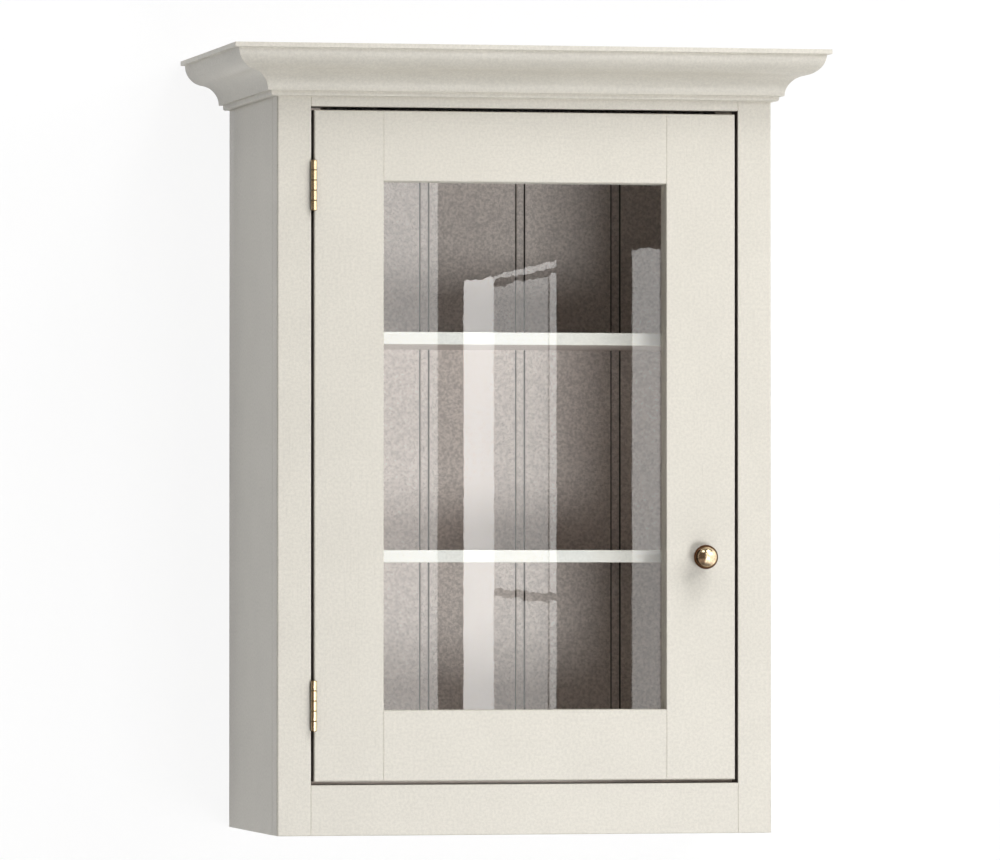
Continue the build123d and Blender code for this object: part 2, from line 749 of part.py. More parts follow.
with BuildPart() as keeper_screws:
    with Locations(*keeper_screw_planes):
        add(csk_screw(keeper_screw_head_radius, keeper_screw_radius, keeper_screw_length))
keeper_screws.part.label = "keeper_screws"
export_step(keeper_screws.part, "parts/keeper_screws.step")
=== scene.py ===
"""Looks of a wall-hung painted cabinet with one glazed door: meshes, finishes, studio and camera.

The CAD parts are the fixed frame, in metres: +X to the right, +Y into the wall, +Z up, with the
origin in the middle of the cabinet's bottom edge on the wall. Each visible piece is modelled with
mesh operators where its CAD part stands, and takes a procedural finish.
"""

import json
import logging
from collections.abc import Callable, Iterable, Mapping, Sequence
from dataclasses import dataclass, replace
from enum import Enum
from functools import cache
from math import atan2, cos, degrees, dist, pi, radians, sin, sqrt
from random import Random
from typing import Any

import bmesh
import bpy
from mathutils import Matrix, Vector


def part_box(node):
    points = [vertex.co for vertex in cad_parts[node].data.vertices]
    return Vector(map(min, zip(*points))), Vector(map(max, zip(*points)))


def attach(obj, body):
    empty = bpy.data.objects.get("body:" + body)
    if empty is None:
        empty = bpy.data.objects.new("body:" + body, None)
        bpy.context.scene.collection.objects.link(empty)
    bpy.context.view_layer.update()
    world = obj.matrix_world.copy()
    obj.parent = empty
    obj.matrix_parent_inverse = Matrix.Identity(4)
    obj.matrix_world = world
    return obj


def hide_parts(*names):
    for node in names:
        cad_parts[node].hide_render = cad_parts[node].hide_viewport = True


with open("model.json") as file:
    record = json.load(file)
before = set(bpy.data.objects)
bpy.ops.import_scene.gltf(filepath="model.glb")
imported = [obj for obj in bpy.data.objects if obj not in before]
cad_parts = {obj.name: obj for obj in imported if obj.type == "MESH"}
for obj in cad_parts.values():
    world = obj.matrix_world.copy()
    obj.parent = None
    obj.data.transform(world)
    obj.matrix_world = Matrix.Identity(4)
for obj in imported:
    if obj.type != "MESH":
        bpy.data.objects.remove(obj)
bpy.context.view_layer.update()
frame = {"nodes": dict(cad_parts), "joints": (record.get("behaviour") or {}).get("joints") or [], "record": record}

log = logging.getLogger("cabinet")

MM = 0.001
SHARP = radians(30)
SMOOTH = radians(40)
TINY = 1e-5

FLAT = 0.99
HALF = 0.5
EASED = 0.25
PANE_CROSSINGS = 2.5

Colour = tuple[float, float, float]
Point = tuple[float, float, float]
Section = list[tuple[float, float]]

WHITE: Colour = (1, 1, 1)


class Body(Enum):
    """The CAD bodies that pieces ride on."""

    CABINET = "cabinet"
    DOOR = "door"


class Slot(Enum):
    """The record's material slots."""

    PAINT = "painted_timber"
    BARE = "bare_timber"
    HINGE = "hinge_brass"
    KNOB = "knob_brass"
    ZINC = "zinc_steel"
    MAGNET = "magnet_steel"
    GLASS = "clear_glass"


class Axis(Enum):
    """The shared frame's axes, as the place of each in a point."""

    X = 0
    Y = 1
    Z = 2

    def direction(self) -> Vector:
        """The unit vector along the axis."""
        return Vector([float(index == self.value) for index in range(3)])

    def place(self, section: tuple[float, float], along: float) -> Vector:
        """A point of a section that stands square to the axis.

        Args:
            section: the point's places on the other two axes, in their order.
            along: its place along this axis.

        Returns:
            The point in the shared frame.
        """
        point = list(section)
        point.insert(self.value, along)
        return Vector(point)


@dataclass(frozen=True)
class Box:
    """A CAD node's box at rest, by the names of its sides."""

    left: float
    front: float
    bottom: float
    right: float
    back: float
    top: float

    @classmethod
    def of(cls, node: str) -> "Box":
        """The box of a CAD node."""
        low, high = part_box(node)
        return cls(*low, *high)

    @property
    def centre(self) -> Vector:
        """The box's middle."""
        return Vector((self.left + self.right, self.front + self.back, self.bottom + self.top)) / 2

    @property
    def corners(self) -> tuple[Point, Point]:
        """The box's low and high corners."""
        return (self.left, self.front, self.bottom), (self.right, self.back, self.top)


# ---------------------------------------------------------------- modelling


@dataclass(frozen=True)
class Edge:
    """An edge as the tests see it: its middle and its direction."""

    middle: Vector
    direction: Vector

    def runs(self, axis: Axis) -> bool:
        """True if the edge lies along an axis."""
        return abs(self.direction[axis.value]) > 1 - TINY

    def at(self, **places: float) -> bool:
        """True if the edge's middle has these places, as in x=0.3 or z=0."""
        return all(abs(getattr(self.middle, axis) - place) < TINY for axis, place in places.items())


EdgeTest = Callable[[Edge], bool]
FaceTest = Callable[[bmesh.types.BMFace], bool]


def along(axis: Axis, **places: float) -> EdgeTest:
    """A test for the edges that lie along an axis and whose middle has these places."""
    return lambda edge: edge.runs(axis) and edge.at(**places)


def looking(axis: Axis, sign: int) -> FaceTest:
    """A test for the flat faces that look towards an axis's high end, or its low end if sign is -1."""
    return lambda face: face.normal[axis.value] * sign > FLAT


def flat_at(axis: Axis, place: float) -> FaceTest:
    """A test for the flat faces that stand square to an axis at a place on it."""
    return lambda face: (abs(face.normal[axis.value]) > FLAT
                         and abs(face.calc_center_median()[axis.value] - place) < TINY)


class Piece:
    """A mesh shaped by operators, as by hand, with its place in its mesh."""

    def __init__(self, name: str) -> None:
        """Takes over the primitive that was just added.

        Args:
            name: the finished piece's name.
        """
        bpy.ops.object.transform_apply(location=True, rotation=True, scale=True)
        self.thing = bpy.context.active_object
        self.thing.name = self.thing.data.name = name

    @classmethod
    def block(cls, name: str, low: Sequence[float], high: Sequence[float]) -> "Piece":
        """A cuboid.

        Args:
            name: the piece's name.
            low: its low corner.
            high: its high corner.

        Returns:
            The piece.
        """
        low, high = Vector(low), Vector(high)
        bpy.ops.object.select_all(action="DESELECT")
        bpy.ops.mesh.primitive_cube_add(size=1, location=(low + high) / 2, scale=high - low)
        return cls(name)

    @classmethod
    def drum(cls, name: str, centre: Sequence[float], axis: Axis, radius: float, length: float,
             end_radius: float | None = None, sides: int = 48) -> "Piece":
        """A cylinder, or a cone whose far end has a radius of its own.

        Args:
            name: the piece's name.
            centre: the middle of its axis.
            axis: the axis that it stands along.
            radius: the radius at the low end.
            length: its length.
            end_radius: the radius at the high end, if it differs.
            sides: the number of its sides.

        Returns:
            The piece.
        """
        turn = {Axis.X: (0, pi / 2, 0), Axis.Y: (-pi / 2, 0, 0), Axis.Z: (0, 0, 0)}[axis]
        bpy.ops.object.select_all(action="DESELECT")
        bpy.ops.mesh.primitive_cone_add(
            vertices=sides, radius1=radius, radius2=radius if end_radius is None else end_radius,
            depth=length, location=centre, rotation=turn)
        return cls(name)

    @classmethod
    def ring(cls, name: str, points: Sequence[Vector], fill: str) -> "Piece":
        """A ring of edges through points.

        Args:
            name: the piece's name.
            points: its corners, in order.
            fill: NGON for a face inside it, or NOTHING.

        Returns:
            The piece.
        """
        bpy.ops.object.select_all(action="DESELECT")
        bpy.ops.mesh.primitive_circle_add(vertices=len(points), fill_type=fill)
        piece = cls(name)
        for vertex, point in zip(piece.thing.data.vertices, points):
            vertex.co = point
        return piece

    @classmethod
    def extruded(cls, name: str, outline: Section, axis: Axis, low: float,
                 high: float) -> "Piece":
        """A section extruded along an axis.

        Args:
            name: the piece's name.
            outline: the section's corners on the other two axes, in order round it.
            axis: the axis that it runs along.
            low: where it starts.
            high: where it ends.

        Returns:
            The piece, a closed solid.
        """
        piece = cls.ring(name, [axis.place(corner, low) for corner in outline], "NGON")
        bpy.ops.object.mode_set(mode="EDIT")
        bpy.ops.mesh.select_all(action="SELECT")
        run = axis.direction() * (high - low)
        bpy.ops.mesh.extrude_region_move(TRANSFORM_OT_translate={"value": run})
        piece.face_outward()
        return piece

    @classmethod
    def turned(cls, name: str, outline: Section, foot: Sequence[float], steps: int = 96) -> "Piece":
        """A profile turned round an axis that points out of the wall, as on a lathe.

        Args:
            name: the piece's name.
            outline: pairs of radius and height above the foot, from pole to pole.
            foot: the point of the axis at height 0.
            steps: the number of sides.

        Returns:
            The piece, a closed solid.
        """
        foot = Vector(foot)
        points = [foot + Vector((radius, -height, 0)) for radius, height in outline]
        piece = cls.ring(name, points, "NOTHING")
        bpy.ops.object.mode_set(mode="EDIT")
        bpy.ops.mesh.select_all(action="SELECT")
        bpy.ops.mesh.spin(steps=steps, angle=2 * pi, center=foot, axis=(0, 1, 0))
        bpy.ops.mesh.select_all(action="SELECT")
        bpy.ops.mesh.remove_doubles(threshold=TINY)
        bpy.ops.mesh.select_all(action="SELECT")
        bpy.ops.mesh.dissolve_degenerate(threshold=TINY)
        piece.face_outward()
        return piece

    def face_outward(self) -> None:
        """Turns all faces outward and leaves edit mode."""
        bpy.ops.mesh.select_all(action="SELECT")
        bpy.ops.mesh.normals_make_consistent(inside=False)
        bpy.ops.object.mode_set(mode="OBJECT")

    def cut(self, point: Sequence[float], outward: Sequence[float]) -> "Piece":
        """Saws the piece along a plane, drops what lies on its outward side and closes the cut.

        Args:
            point: a point of the plane.
            outward: the plane's normal, towards the waste.

        Returns:
            The piece.
        """
        self.edit()
        bpy.ops.mesh.select_all(action="SELECT")
        bpy.ops.mesh.bisect(plane_co=point, plane_no=outward, use_fill=True, clear_outer=True)
        self.face_outward()
        return self

    def score(self, point: Sequence[float], normal: Sequence[float]) -> "Piece":
        """Divides the faces that a plane crosses, and drops nothing.

        Args:
            point: a point of the plane.
            normal: the plane's normal.

        Returns:
            The piece.
        """
        self.edit()
        bpy.ops.mesh.select_all(action="SELECT")
        bpy.ops.mesh.bisect(plane_co=point, plane_no=normal)
        bpy.ops.object.mode_set(mode="OBJECT")
        return self

    def pick(self, test: Callable[[Any], bool], kind: str = "EDGE") -> None:
        """Enters edit mode and selects the edges or faces that pass a test.

        Args:
            test: the test of an edge or a face of the mesh.
            kind: EDGE or FACE.
        """
        self.edit()
        bpy.ops.mesh.select_mode(type=kind)
        bpy.ops.mesh.select_all(action="DESELECT")
        mesh = bmesh.from_edit_mesh(self.thing.data)
        for part in (mesh.edges if kind == "EDGE" else mesh.faces):
            if test(part):
                part.select_set(True)
        bmesh.update_edit_mesh(self.thing.data)

    def choose(self) -> None:
        """Makes this piece the only selected one, and the active one."""
        bpy.ops.object.select_all(action="DESELECT")
        self.thing.select_set(True)
        bpy.context.view_layer.objects.active = self.thing

    def edit(self) -> None:
        """Enters edit mode on this piece alone."""
        self.choose()
        bpy.ops.object.mode_set(mode="EDIT")

    def ease(self, radius: float, rules: Iterable[tuple[EdgeTest, float]] = (),
             segments: int = 3) -> "Piece":
        """Rounds the sharp edges.

        Args:
            radius: the radius of the edges that no rule picks.
            rules: pairs of a test and the radius of the edges that pass it; a later rule wins.
            segments: how many faces each rounding has.

        Returns:
            The piece.
        """
        rules = [(lambda edge: True, radius), *rules]
        widest = max(size for _, size in rules)
        self.edit()
        bpy.ops.mesh.select_mode(type="EDGE")
        mesh = bmesh.from_edit_mesh(self.thing.data)
        sizes: dict[int, float] = {}
        for edge in mesh.edges:
            if not edge.is_manifold or edge.calc_face_angle() < SHARP:
                continue
            start, end = (vertex.co for vertex in edge.verts)
            seen = Edge((start + end) / 2, (end - start).normalized())
            sizes[edge.index] = [size for test, size in rules if test(seen)][-1]
        for size in sorted(set(sizes.values())):
            mesh = bmesh.from_edit_mesh(self.thing.data)
            for edge in mesh.edges:
                edge.select_set(False)
            for edge in mesh.edges:
                if sizes.get(edge.index) == size:
                    edge.select_set(True)
            bmesh.update_edit_mesh(self.thing.data)
            bpy.ops.transform.edge_bevelweight(value=size / widest)
        bpy.ops.object.mode_set(mode="OBJECT")
        return self.modify("BEVEL", width=widest, segments=segments, limit_method="WEIGHT")

    def modify(self, kind: str, **settings: Any) -> "Piece":
        """Adds a modifier and applies it.

        Args:
            kind: the modifier's type.
            settings: its settings.

        Returns:
            The piece.
        """
        self.choose()
        modifier = self.thing.modifiers.new(kind.title(), kind)
        for name, value in settings.items():
            setattr(modifier, name, value)
        bpy.ops.object.modifier_apply(modifier=modifier.name)
        return self

    def combine(self, others: Iterable["Piece"], operation: str = "DIFFERENCE") -> "Piece":
        """Cuts other pieces out of this one, or adds them to it, and removes them.

        Args:
            others: the pieces to cut out or add.
            operation: DIFFERENCE or UNION.

        Returns:
            The piece.
        """
        for other in others:
            self.modify("BOOLEAN", operation=operation, object=other.thing, solver="EXACT")
            bpy.data.objects.remove(other.thing)
        return self

    def smooth(self) -> "Piece":
        """Shades the roundings smooth and keeps the flats flat.

        Returns:
            The piece.
        """
        self.choose()
        bpy.ops.object.shade_smooth_by_angle(angle=SMOOTH)
        return self.modify("WEIGHTED_NORMAL", keep_sharp=True)


def arc(centre: tuple[float, float], radius: float, start: float, end: float, steps: int = 12) -> Section:
    """Points along an arc.

    Args:
        centre: its centre.
        radius: its radius.
        start: the angle of its first point, in degrees from the first axis towards the second.
        end: the angle of its last point.
        steps: the number of chords.

    Returns:
        Its points, both ends included.
    """
    across, up = centre
    angles = [radians(start + (end - start) * step / steps) for step in range(steps + 1)]
    return [(across + radius * cos(angle), up + radius * sin(angle)) for angle in angles]


# ---------------------------------------------------------------- shader sums


class Wire:
    """A value that runs between nodes. Its operators add Math nodes."""

    def __init__(self, graph: "Graph", socket: bpy.types.NodeSocket) -> None:
        """Wraps an output socket of a graph."""
        self.graph = graph
        self.socket = socket

    def __add__(self, other: "Wire | float") -> "Wire":
        """self + other"""
        return self.graph.maths("ADD", self, other)

    __radd__ = __add__

    def __sub__(self, other: "Wire | float") -> "Wire":
        """self - other"""
        return self.graph.maths("SUBTRACT", self, other)

    def __rsub__(self, other: float) -> "Wire":
        """other - self"""
        return self.graph.maths("SUBTRACT", other, self)

    def __mul__(self, other: "Wire | float") -> "Wire":
        """self * other"""
        return self.graph.maths("MULTIPLY", self, other)

    __rmul__ = __mul__

    def __truediv__(self, other: "Wire | float") -> "Wire":
        """self / other"""
        return self.graph.maths("DIVIDE", self, other)

    def __gt__(self, other: float) -> "Wire":
        """1 where self is over other, and 0 elsewhere."""
        return self.graph.maths("GREATER_THAN", self, other)

    def __lt__(self, other: float) -> "Wire":
        """1 where self is under other, and 0 elsewhere."""
        return self.graph.maths("LESS_THAN", self, other)


class Graph:
    """A node tree and the means to fill it."""

    def __init__(self, tree: bpy.types.NodeTree, output: str = "ShaderNodeOutputMaterial") -> None:
        """Empties a tree and gives it an output node.

        Args:
            tree: the node tree.
            output: the output node's type.
        """
        self.tree = tree
        tree.nodes.clear()
        self.output = self.node(output)

    @classmethod
    def of_material(cls, name: str) -> tuple["Graph", bpy.types.Material]:
        """A new material and its graph.

        Args:
            name: the material's name.

        Returns:
            The graph and the material.
        """
        material = bpy.data.materials.new(name)
        material.use_nodes = True
        return cls(material.node_tree), material

    def node(self, kind: str, settings: Mapping[str, Any] | None = None,
             inputs: Mapping[str | int, Any] | None = None) -> bpy.types.Node:
        """Adds a node.

        Args:
            kind: the node's type.
            settings: its own settings.
            inputs: values or wires for its sockets, by name or number.

        Returns:
            The node.
        """
        made = self.tree.nodes.new(kind)
        for name, value in (settings or {}).items():
            setattr(made, name, value)
        for name, value in (inputs or {}).items():
            if isinstance(value, Wire):
                self.tree.links.new(value.socket, made.inputs[name])
            else:
                made.inputs[name].default_value = value
        return made

    def wire(self, node: bpy.types.Node, output: str | int = 0) -> Wire:
        """An output of a node as a wire."""
        return Wire(self, node.outputs[output])

    def maths(self, operation: str, *values: Wire | float) -> Wire:
        """A Math node's result."""
        return self.wire(self.node("ShaderNodeMath", {"operation": operation}, dict(enumerate(values))))

    def blend(self, factor: Wire | float, first: Wire | Colour, second: Wire | Colour) -> Wire:
        """A colour between two colours.

        Args:
            factor: how much of the second.
            first: the colour at 0.
            second: the colour at 1.

        Returns:
            The colour.
        """
        first, second = (c if isinstance(c, Wire) else (*c, 1) for c in (first, second))
        settings = {"data_type": "RGBA", "clamp_factor": True}
        made = self.node("ShaderNodeMix", settings, {0: factor, 6: first, 7: second})
        return self.wire(made, 2)

    def coordinates(self, stretch: Point = (1, 1, 1)) -> Wire:
        """The piece's own coordinates in metres, scaled along each axis."""
        place = self.wire(self.node("ShaderNodeTexCoord"), "Object")
        return self.wire(self.node("ShaderNodeMapping", inputs={"Vector": place, "Scale": stretch}))

    def noise(self, place: Wire, scale: float, detail: float = 2, roughness: float = 0.5,
              distortion: float = 0) -> Wire:
        """A noise between 0 and 1.

        Args:
            place: where it is looked up.
            scale: how many features it has a metre.
            detail: how many finer octaves it has.
            roughness: how strong these are.
            distortion: how far they warp it.

        Returns:
            The noise.
        """
        inputs = {"Vector": place, "Scale": scale, "Detail": detail, "Roughness": roughness,
                  "Distortion": distortion}
        return self.wire(self.node("ShaderNodeTexNoise", inputs=inputs), 0)

    def spread(self, value: Wire, low: float, high: float, to_low: float = 0, to_high: float = 1) -> Wire:
        """Maps a range onto another smoothly, and holds the ends."""
        inputs = {0: value, 1: low, 2: high, 3: to_low, 4: to_high}
        return self.wire(self.node("ShaderNodeMapRange", {"interpolation_type": "SMOOTHSTEP"}, inputs))

    def bump(self, height: Wire, distance: float) -> Wire:
        """A normal that follows a height, in which 1 stands for a distance in metres."""
        inputs = {"Height": height, "Distance": distance, "Strength": 1}
        return self.wire(self.node("ShaderNodeBump", inputs=inputs))

    def mix(self, factor: Wire, first: bpy.types.Node, second: bpy.types.Node) -> bpy.types.Node:
        """A shader between two shaders, with a factor of 1 for the second alone."""
        inputs = {0: factor, 1: self.wire(first), 2: self.wire(second)}
        return self.node("ShaderNodeMixShader", inputs=inputs)

    def surface(self, shader: bpy.types.Node) -> None:
        """Sends a shader to the output."""
        self.tree.links.new(shader.outputs[0], self.output.inputs["Surface"])


# ---------------------------------------------------------------- finishes


@dataclass(frozen=True)
class Finish:
    """What a surface is made of; each kind builds its own material."""

    name: str
    slot: Slot

    def material(self) -> bpy.types.Material:
        """The finish's material, made once."""
        return material_of(self)

    def build(self, graph: Graph) -> bpy.types.Node:
        """Fills a graph and returns its shader."""
        raise NotImplementedError


@cache
def material_of(finish: Finish) -> bpy.types.Material:
    """The one material of a finish.

    Args:
        finish: the finish.

    Returns:
        The material.
    """
    graph, material = Graph.of_material(finish.name)
    graph.surface(finish.build(graph))
    return material


def shaded(colour: Colour, share: float) -> Colour:
    """A colour with a share of its light."""
    return tuple(channel * share for channel in colour)


class Grain(Enum):
    """The direction of a board's grain, as its stretch along X, Y and Z."""

    LEVEL = (0.045, 1.0, 1.0)
    DEEP = (1.0, 0.045, 1.0)
    UPRIGHT = (1.0, 1.0, 0.045)


@dataclass(frozen=True)
class Paint(Finish):
    """Satin paint over close-grained timber: faint open grain, brush texture and soft mottling."""

    colour: Colour = (0.83, 0.79, 0.70)
    grain: Grain = Grain.UPRIGHT
    roughness: float = 0.42
    grain_depth: float = 0.06 * MM
    stipple_depth: float = 0.12 * MM
    stipple_tone: float = 0.10
    stipple_scale: float = 300
    stipple_dullness: float = 0.10
    grain_dullness: float = 0.06
    grain_tone: float = 0.06
    figure_share: float = 0.75
    mottle_lift: float = 1.03
    lightest: float = 0.95

    def build(self, graph: Graph) -> bpy.types.Node:
        """Paint colour with grain, stipple and mottling, and a bump from the first two.

        Args:
            graph: the material's nodes.

        Returns:
            The shader.
        """
        still = graph.coordinates()
        along = graph.coordinates(self.grain.value)
        growth = graph.noise(along, scale=55, detail=3, roughness=0.6, distortion=0.6)
        pores = graph.noise(along, scale=620, detail=2, roughness=0.65)
        figure = graph.spread(growth, low=0.42, high=0.62)
        shown = (1 - self.figure_share) + self.figure_share * figure
        open_grain = graph.spread(pores, low=0.56, high=0.72) * shown
        stipple = graph.noise(still, scale=self.stipple_scale, detail=2.5, roughness=0.7)
        mottle = graph.noise(still, scale=14, detail=2)
        dark = shaded(self.colour, 0.5)
        light = tuple(min(channel, self.lightest) for channel in shaded(self.colour, self.mottle_lift))
        tone = graph.blend(graph.spread(mottle, low=0.3, high=0.7), self.colour, light)
        tone = graph.blend(open_grain * self.grain_tone, tone, dark)
        cover = graph.spread(stipple, low=0.30, high=0.70, to_high=2 * self.stipple_tone)
        tone = graph.blend(cover, tone, dark)
        height = stipple * self.stipple_depth / MM - open_grain * self.grain_depth / MM
        return graph.node("ShaderNodeBsdfPrincipled", inputs={
            "Base Color": tone,
            "Roughness": (self.roughness + self.stipple_dullness * (stipple - HALF)
                          + self.grain_dullness * open_grain),
            "Normal": graph.bump(height, MM),
        })


@dataclass(frozen=True)
class BareTimber(Finish):
    """Planed timber with no finish: growth rings, pores and a dry surface."""

    early: Colour = (0.66, 0.50, 0.32)
    late: Colour = (0.50, 0.34, 0.19)
    grain: Grain = Grain.LEVEL
    roughness: float = 0.62
    pore_dullness: float = 0.16
    ring_share: float = 0.6
    depth: float = 0.08 * MM

    def build(self, graph: Graph) -> bpy.types.Node:
        """Rings from a warped noise, with fine pores in the bump.

        Args:
            graph: the material's nodes.

        Returns:
            The shader.
        """
        along = graph.coordinates(self.grain.value)
        rings = graph.noise(along, scale=160, detail=4, roughness=0.6, distortion=1.2)
        pores = graph.noise(along, scale=900, detail=2)
        return graph.node("ShaderNodeBsdfPrincipled", inputs={
            "Base Color": graph.blend(graph.spread(rings, low=0.35, high=0.65), self.early, self.late),
            "Roughness": self.roughness + self.pore_dullness * pores,
            "Normal": graph.bump(pores + self.ring_share * rings, self.depth),
        })


@dataclass(frozen=True)
class Brass(Finish):
    """Brass with a polish, a little tarnish in clouds, fine handling scratches and, when asked, a painted shade on
    its back.
    """

    bright: Colour = (0.90, 0.72, 0.42)
    tarnish: Colour = (0.42, 0.26, 0.13)
    roughness: float = 0.12
    aged: float = 0.3
    painted_dark_back: tuple[float, float] | None = None
    rim_tint: Colour = WHITE
    painted_shade_share: float = 0.4
    tarnish_dullness: float = 0.25
    scratch_dullness: float = 0.05
    scratch_depth: float = 0.004 * MM
    scratch_stretch: Point = (1, 1, 0.12)

    def build(self, graph: Graph) -> bpy.types.Node:
        """Bright metal under clouds of tarnish, and, where painted_dark_back is set, a painted shade that darkens
        everything behind a depth, towards the door.

        Args:
            graph: the material's nodes.

        Returns:
            The shader.
        """
        place = graph.coordinates()
        clouds = graph.noise(place, scale=210, detail=4, roughness=0.6, distortion=0.4)
        scratches = graph.noise(graph.coordinates(self.scratch_stretch), scale=2600, detail=2)
        cover = graph.spread(clouds, low=0.40, high=0.75) * self.aged
        tone = graph.blend(cover, self.bright, self.tarnish)
        # Painted shade: behind the given depth the colour turns dark brown, standing in for the shade and dark
        # reflection on the side facing the door.
        if self.painted_dark_back:
            depth = graph.wire(graph.node("ShaderNodeSeparateXYZ", inputs={0: place}), "Y")
            deep = shaded(self.tarnish, self.painted_shade_share)
            tone = graph.blend(graph.spread(depth, *self.painted_dark_back), tone, deep)
        return graph.node("ShaderNodeBsdfPrincipled", inputs={
            "Metallic": 1.0,
            "Base Color": tone,
            # rim_tint dims the metal's reflection at grazing angles, a painted shade on the knob's outline.
            "Specular Tint": (*self.rim_tint, 1),
            "Roughness": self.roughness + self.tarnish_dullness * cover + self.scratch_dullness * scratches,
            "Normal": graph.bump(scratches, self.scratch_depth),
        })


@dataclass(frozen=True)
class Steel(Finish):
    """Plated steel with a faint spangle."""

    colour: Colour = (0.62, 0.62, 0.60)
    roughness: float = 0.34
    dull_share: float = 0.72
    spangle_dullness: float = 0.18
    spangle_depth: float = 0.01 * MM

    def build(self, graph: Graph) -> bpy.types.Node:
        """Grey metal whose plating varies a little.

        Args:
            graph: the material's nodes.

        Returns:
            The shader.
        """
        place = graph.coordinates()
        spangle = graph.noise(place, scale=700, detail=2)
        dull = shaded(self.colour, self.dull_share)
        return graph.node("ShaderNodeBsdfPrincipled", inputs={
            "Metallic": 1.0,
            "Base Color": graph.blend(graph.spread(spangle, low=0.3, high=0.7), dull, self.colour),
            "Roughness": self.roughness + self.spangle_dullness * (spangle - HALF),
            "Normal": graph.bump(spangle, self.spangle_depth),
        })


@dataclass(frozen=True)
class Glass(Finish):
    """Clear float glass that lets the lamps through to what is behind it."""

    tint: Colour = (0.985, 0.99, 0.98)
    film: Colour = (0.97, 0.972, 0.965)
    wave_depth: float = 0.01 * MM

    def build(self, graph: Graph) -> bpy.types.Node:
        """A polished pane, a little wavy and filmed, and a clear shader for the lamps' light.

        Args:
            graph: the material's nodes.

        Returns:
            The shader.
        """
        waves = graph.noise(graph.coordinates(), scale=9, detail=3)
        pane = graph.node("ShaderNodeBsdfPrincipled", inputs={
            "Base Color": graph.blend(graph.spread(waves, low=0.4, high=0.8), self.tint, self.film),
            "Roughness": 0.0,
            "IOR": 1.5,
            "Transmission Weight": 1.0,
            "Normal": graph.bump(waves, self.wave_depth),
        })
        clear = graph.node("ShaderNodeBsdfTransparent", inputs={"Color": (*self.tint, 1)})
        path = graph.node("ShaderNodeLightPath")
        lamp = graph.maths("MAXIMUM", graph.wire(path, "Is Shadow Ray"), graph.wire(path, "Is Diffuse Ray"))
        return graph.mix(lamp, pane, clear)


CREAM: Colour = (0.83, 0.79, 0.70)
UPRIGHT_PAINT = Paint("paint_on_upright_grain", Slot.PAINT, CREAM, Grain.UPRIGHT)
LEVEL_PAINT = Paint("paint_on_level_grain", Slot.PAINT, CREAM, Grain.LEVEL)
RETURN_PAINT = Paint("paint_on_deep_grain", Slot.PAINT, CREAM, Grain.DEEP)
INSIDE_COLOUR: Colour = (0.915, 0.834, 0.80)
INSIDE_UPRIGHT = Paint("inside_paint_upright", Slot.PAINT, INSIDE_COLOUR, Grain.UPRIGHT, roughness=0.5,
                       stipple_depth=0.40 * MM, stipple_tone=0.33)
INSIDE_LEVEL = replace(INSIDE_UPRIGHT, name="inside_paint_level", grain=Grain.LEVEL)
# Near-black painted shade for the sides and floors of the back boards' quirks.
QUIRK_PAINTED_SHADE = Paint("quirk_painted_shade", Slot.PAINT, (0.09, 0.075, 0.065), roughness=0.8)
# Dark taupe painted shade for the faces inside the gap round the door: door rims and the opening's sides.
GAP_PAINTED_SHADE = Paint("gap_painted_shade", Slot.PAINT, (0.27, 0.24, 0.22), roughness=0.6)
# Whiter paint on the shelves' front faces: partly a paler edge paint and partly painted light where the lamps fall
# on them.
SHELF_FRONT_PAINTED_LIGHT = Paint("shelf_front_painted_light", Slot.PAINT, (0.97, 0.95, 0.90), Grain.LEVEL, roughness=0.38)
RAW_TIMBER = BareTimber("bare_pine", Slot.BARE)
HINGE_BRASS = Brass("polished_hinge_brass", Slot.HINGE, (0.93, 0.72, 0.40), (0.40, 0.26, 0.10),
                    roughness=0.16, aged=0.25)
# Hinge barrels: the half towards the door is darkened as painted shade.
BARREL_BRASS = Brass("hinge_brass_painted_dark_back", Slot.HINGE, (0.93, 0.74, 0.46), (0.42, 0.26, 0.14),
                     roughness=0.16, aged=0.25, painted_dark_back=(-337.2 * MM, -334.6 * MM))
# Dark painted shade for the eased ends of the knuckles, in the creases between them.
KNUCKLE_PAINTED_SHADE = Brass("knuckle_painted_shade", Slot.HINGE, (0.16, 0.10, 0.05), (0.08, 0.05, 0.025),
                    roughness=0.4, aged=0.5)
# Knob: the half towards the door is darkened as painted shade, and rim_tint darkens its rim as painted shade.
KNOB_BRASS = Brass("aged_knob_brass_painted_dark_back", Slot.KNOB, (0.90, 0.72, 0.48), (0.38, 0.24, 0.16), roughness=0.12,
                   aged=0.5, painted_dark_back=(-358.5 * MM, -355.0 * MM), rim_tint=(0.35, 0.25, 0.20))
ZINC = Steel("zinc_plate", Slot.ZINC)
NICKEL = Steel("nickel_plate", Slot.MAGNET, (0.50, 0.50, 0.52), roughness=0.22)
CLEAR_GLASS = Glass("float_glass", Slot.GLASS)


# ---------------------------------------------------------------- sub-assemblies


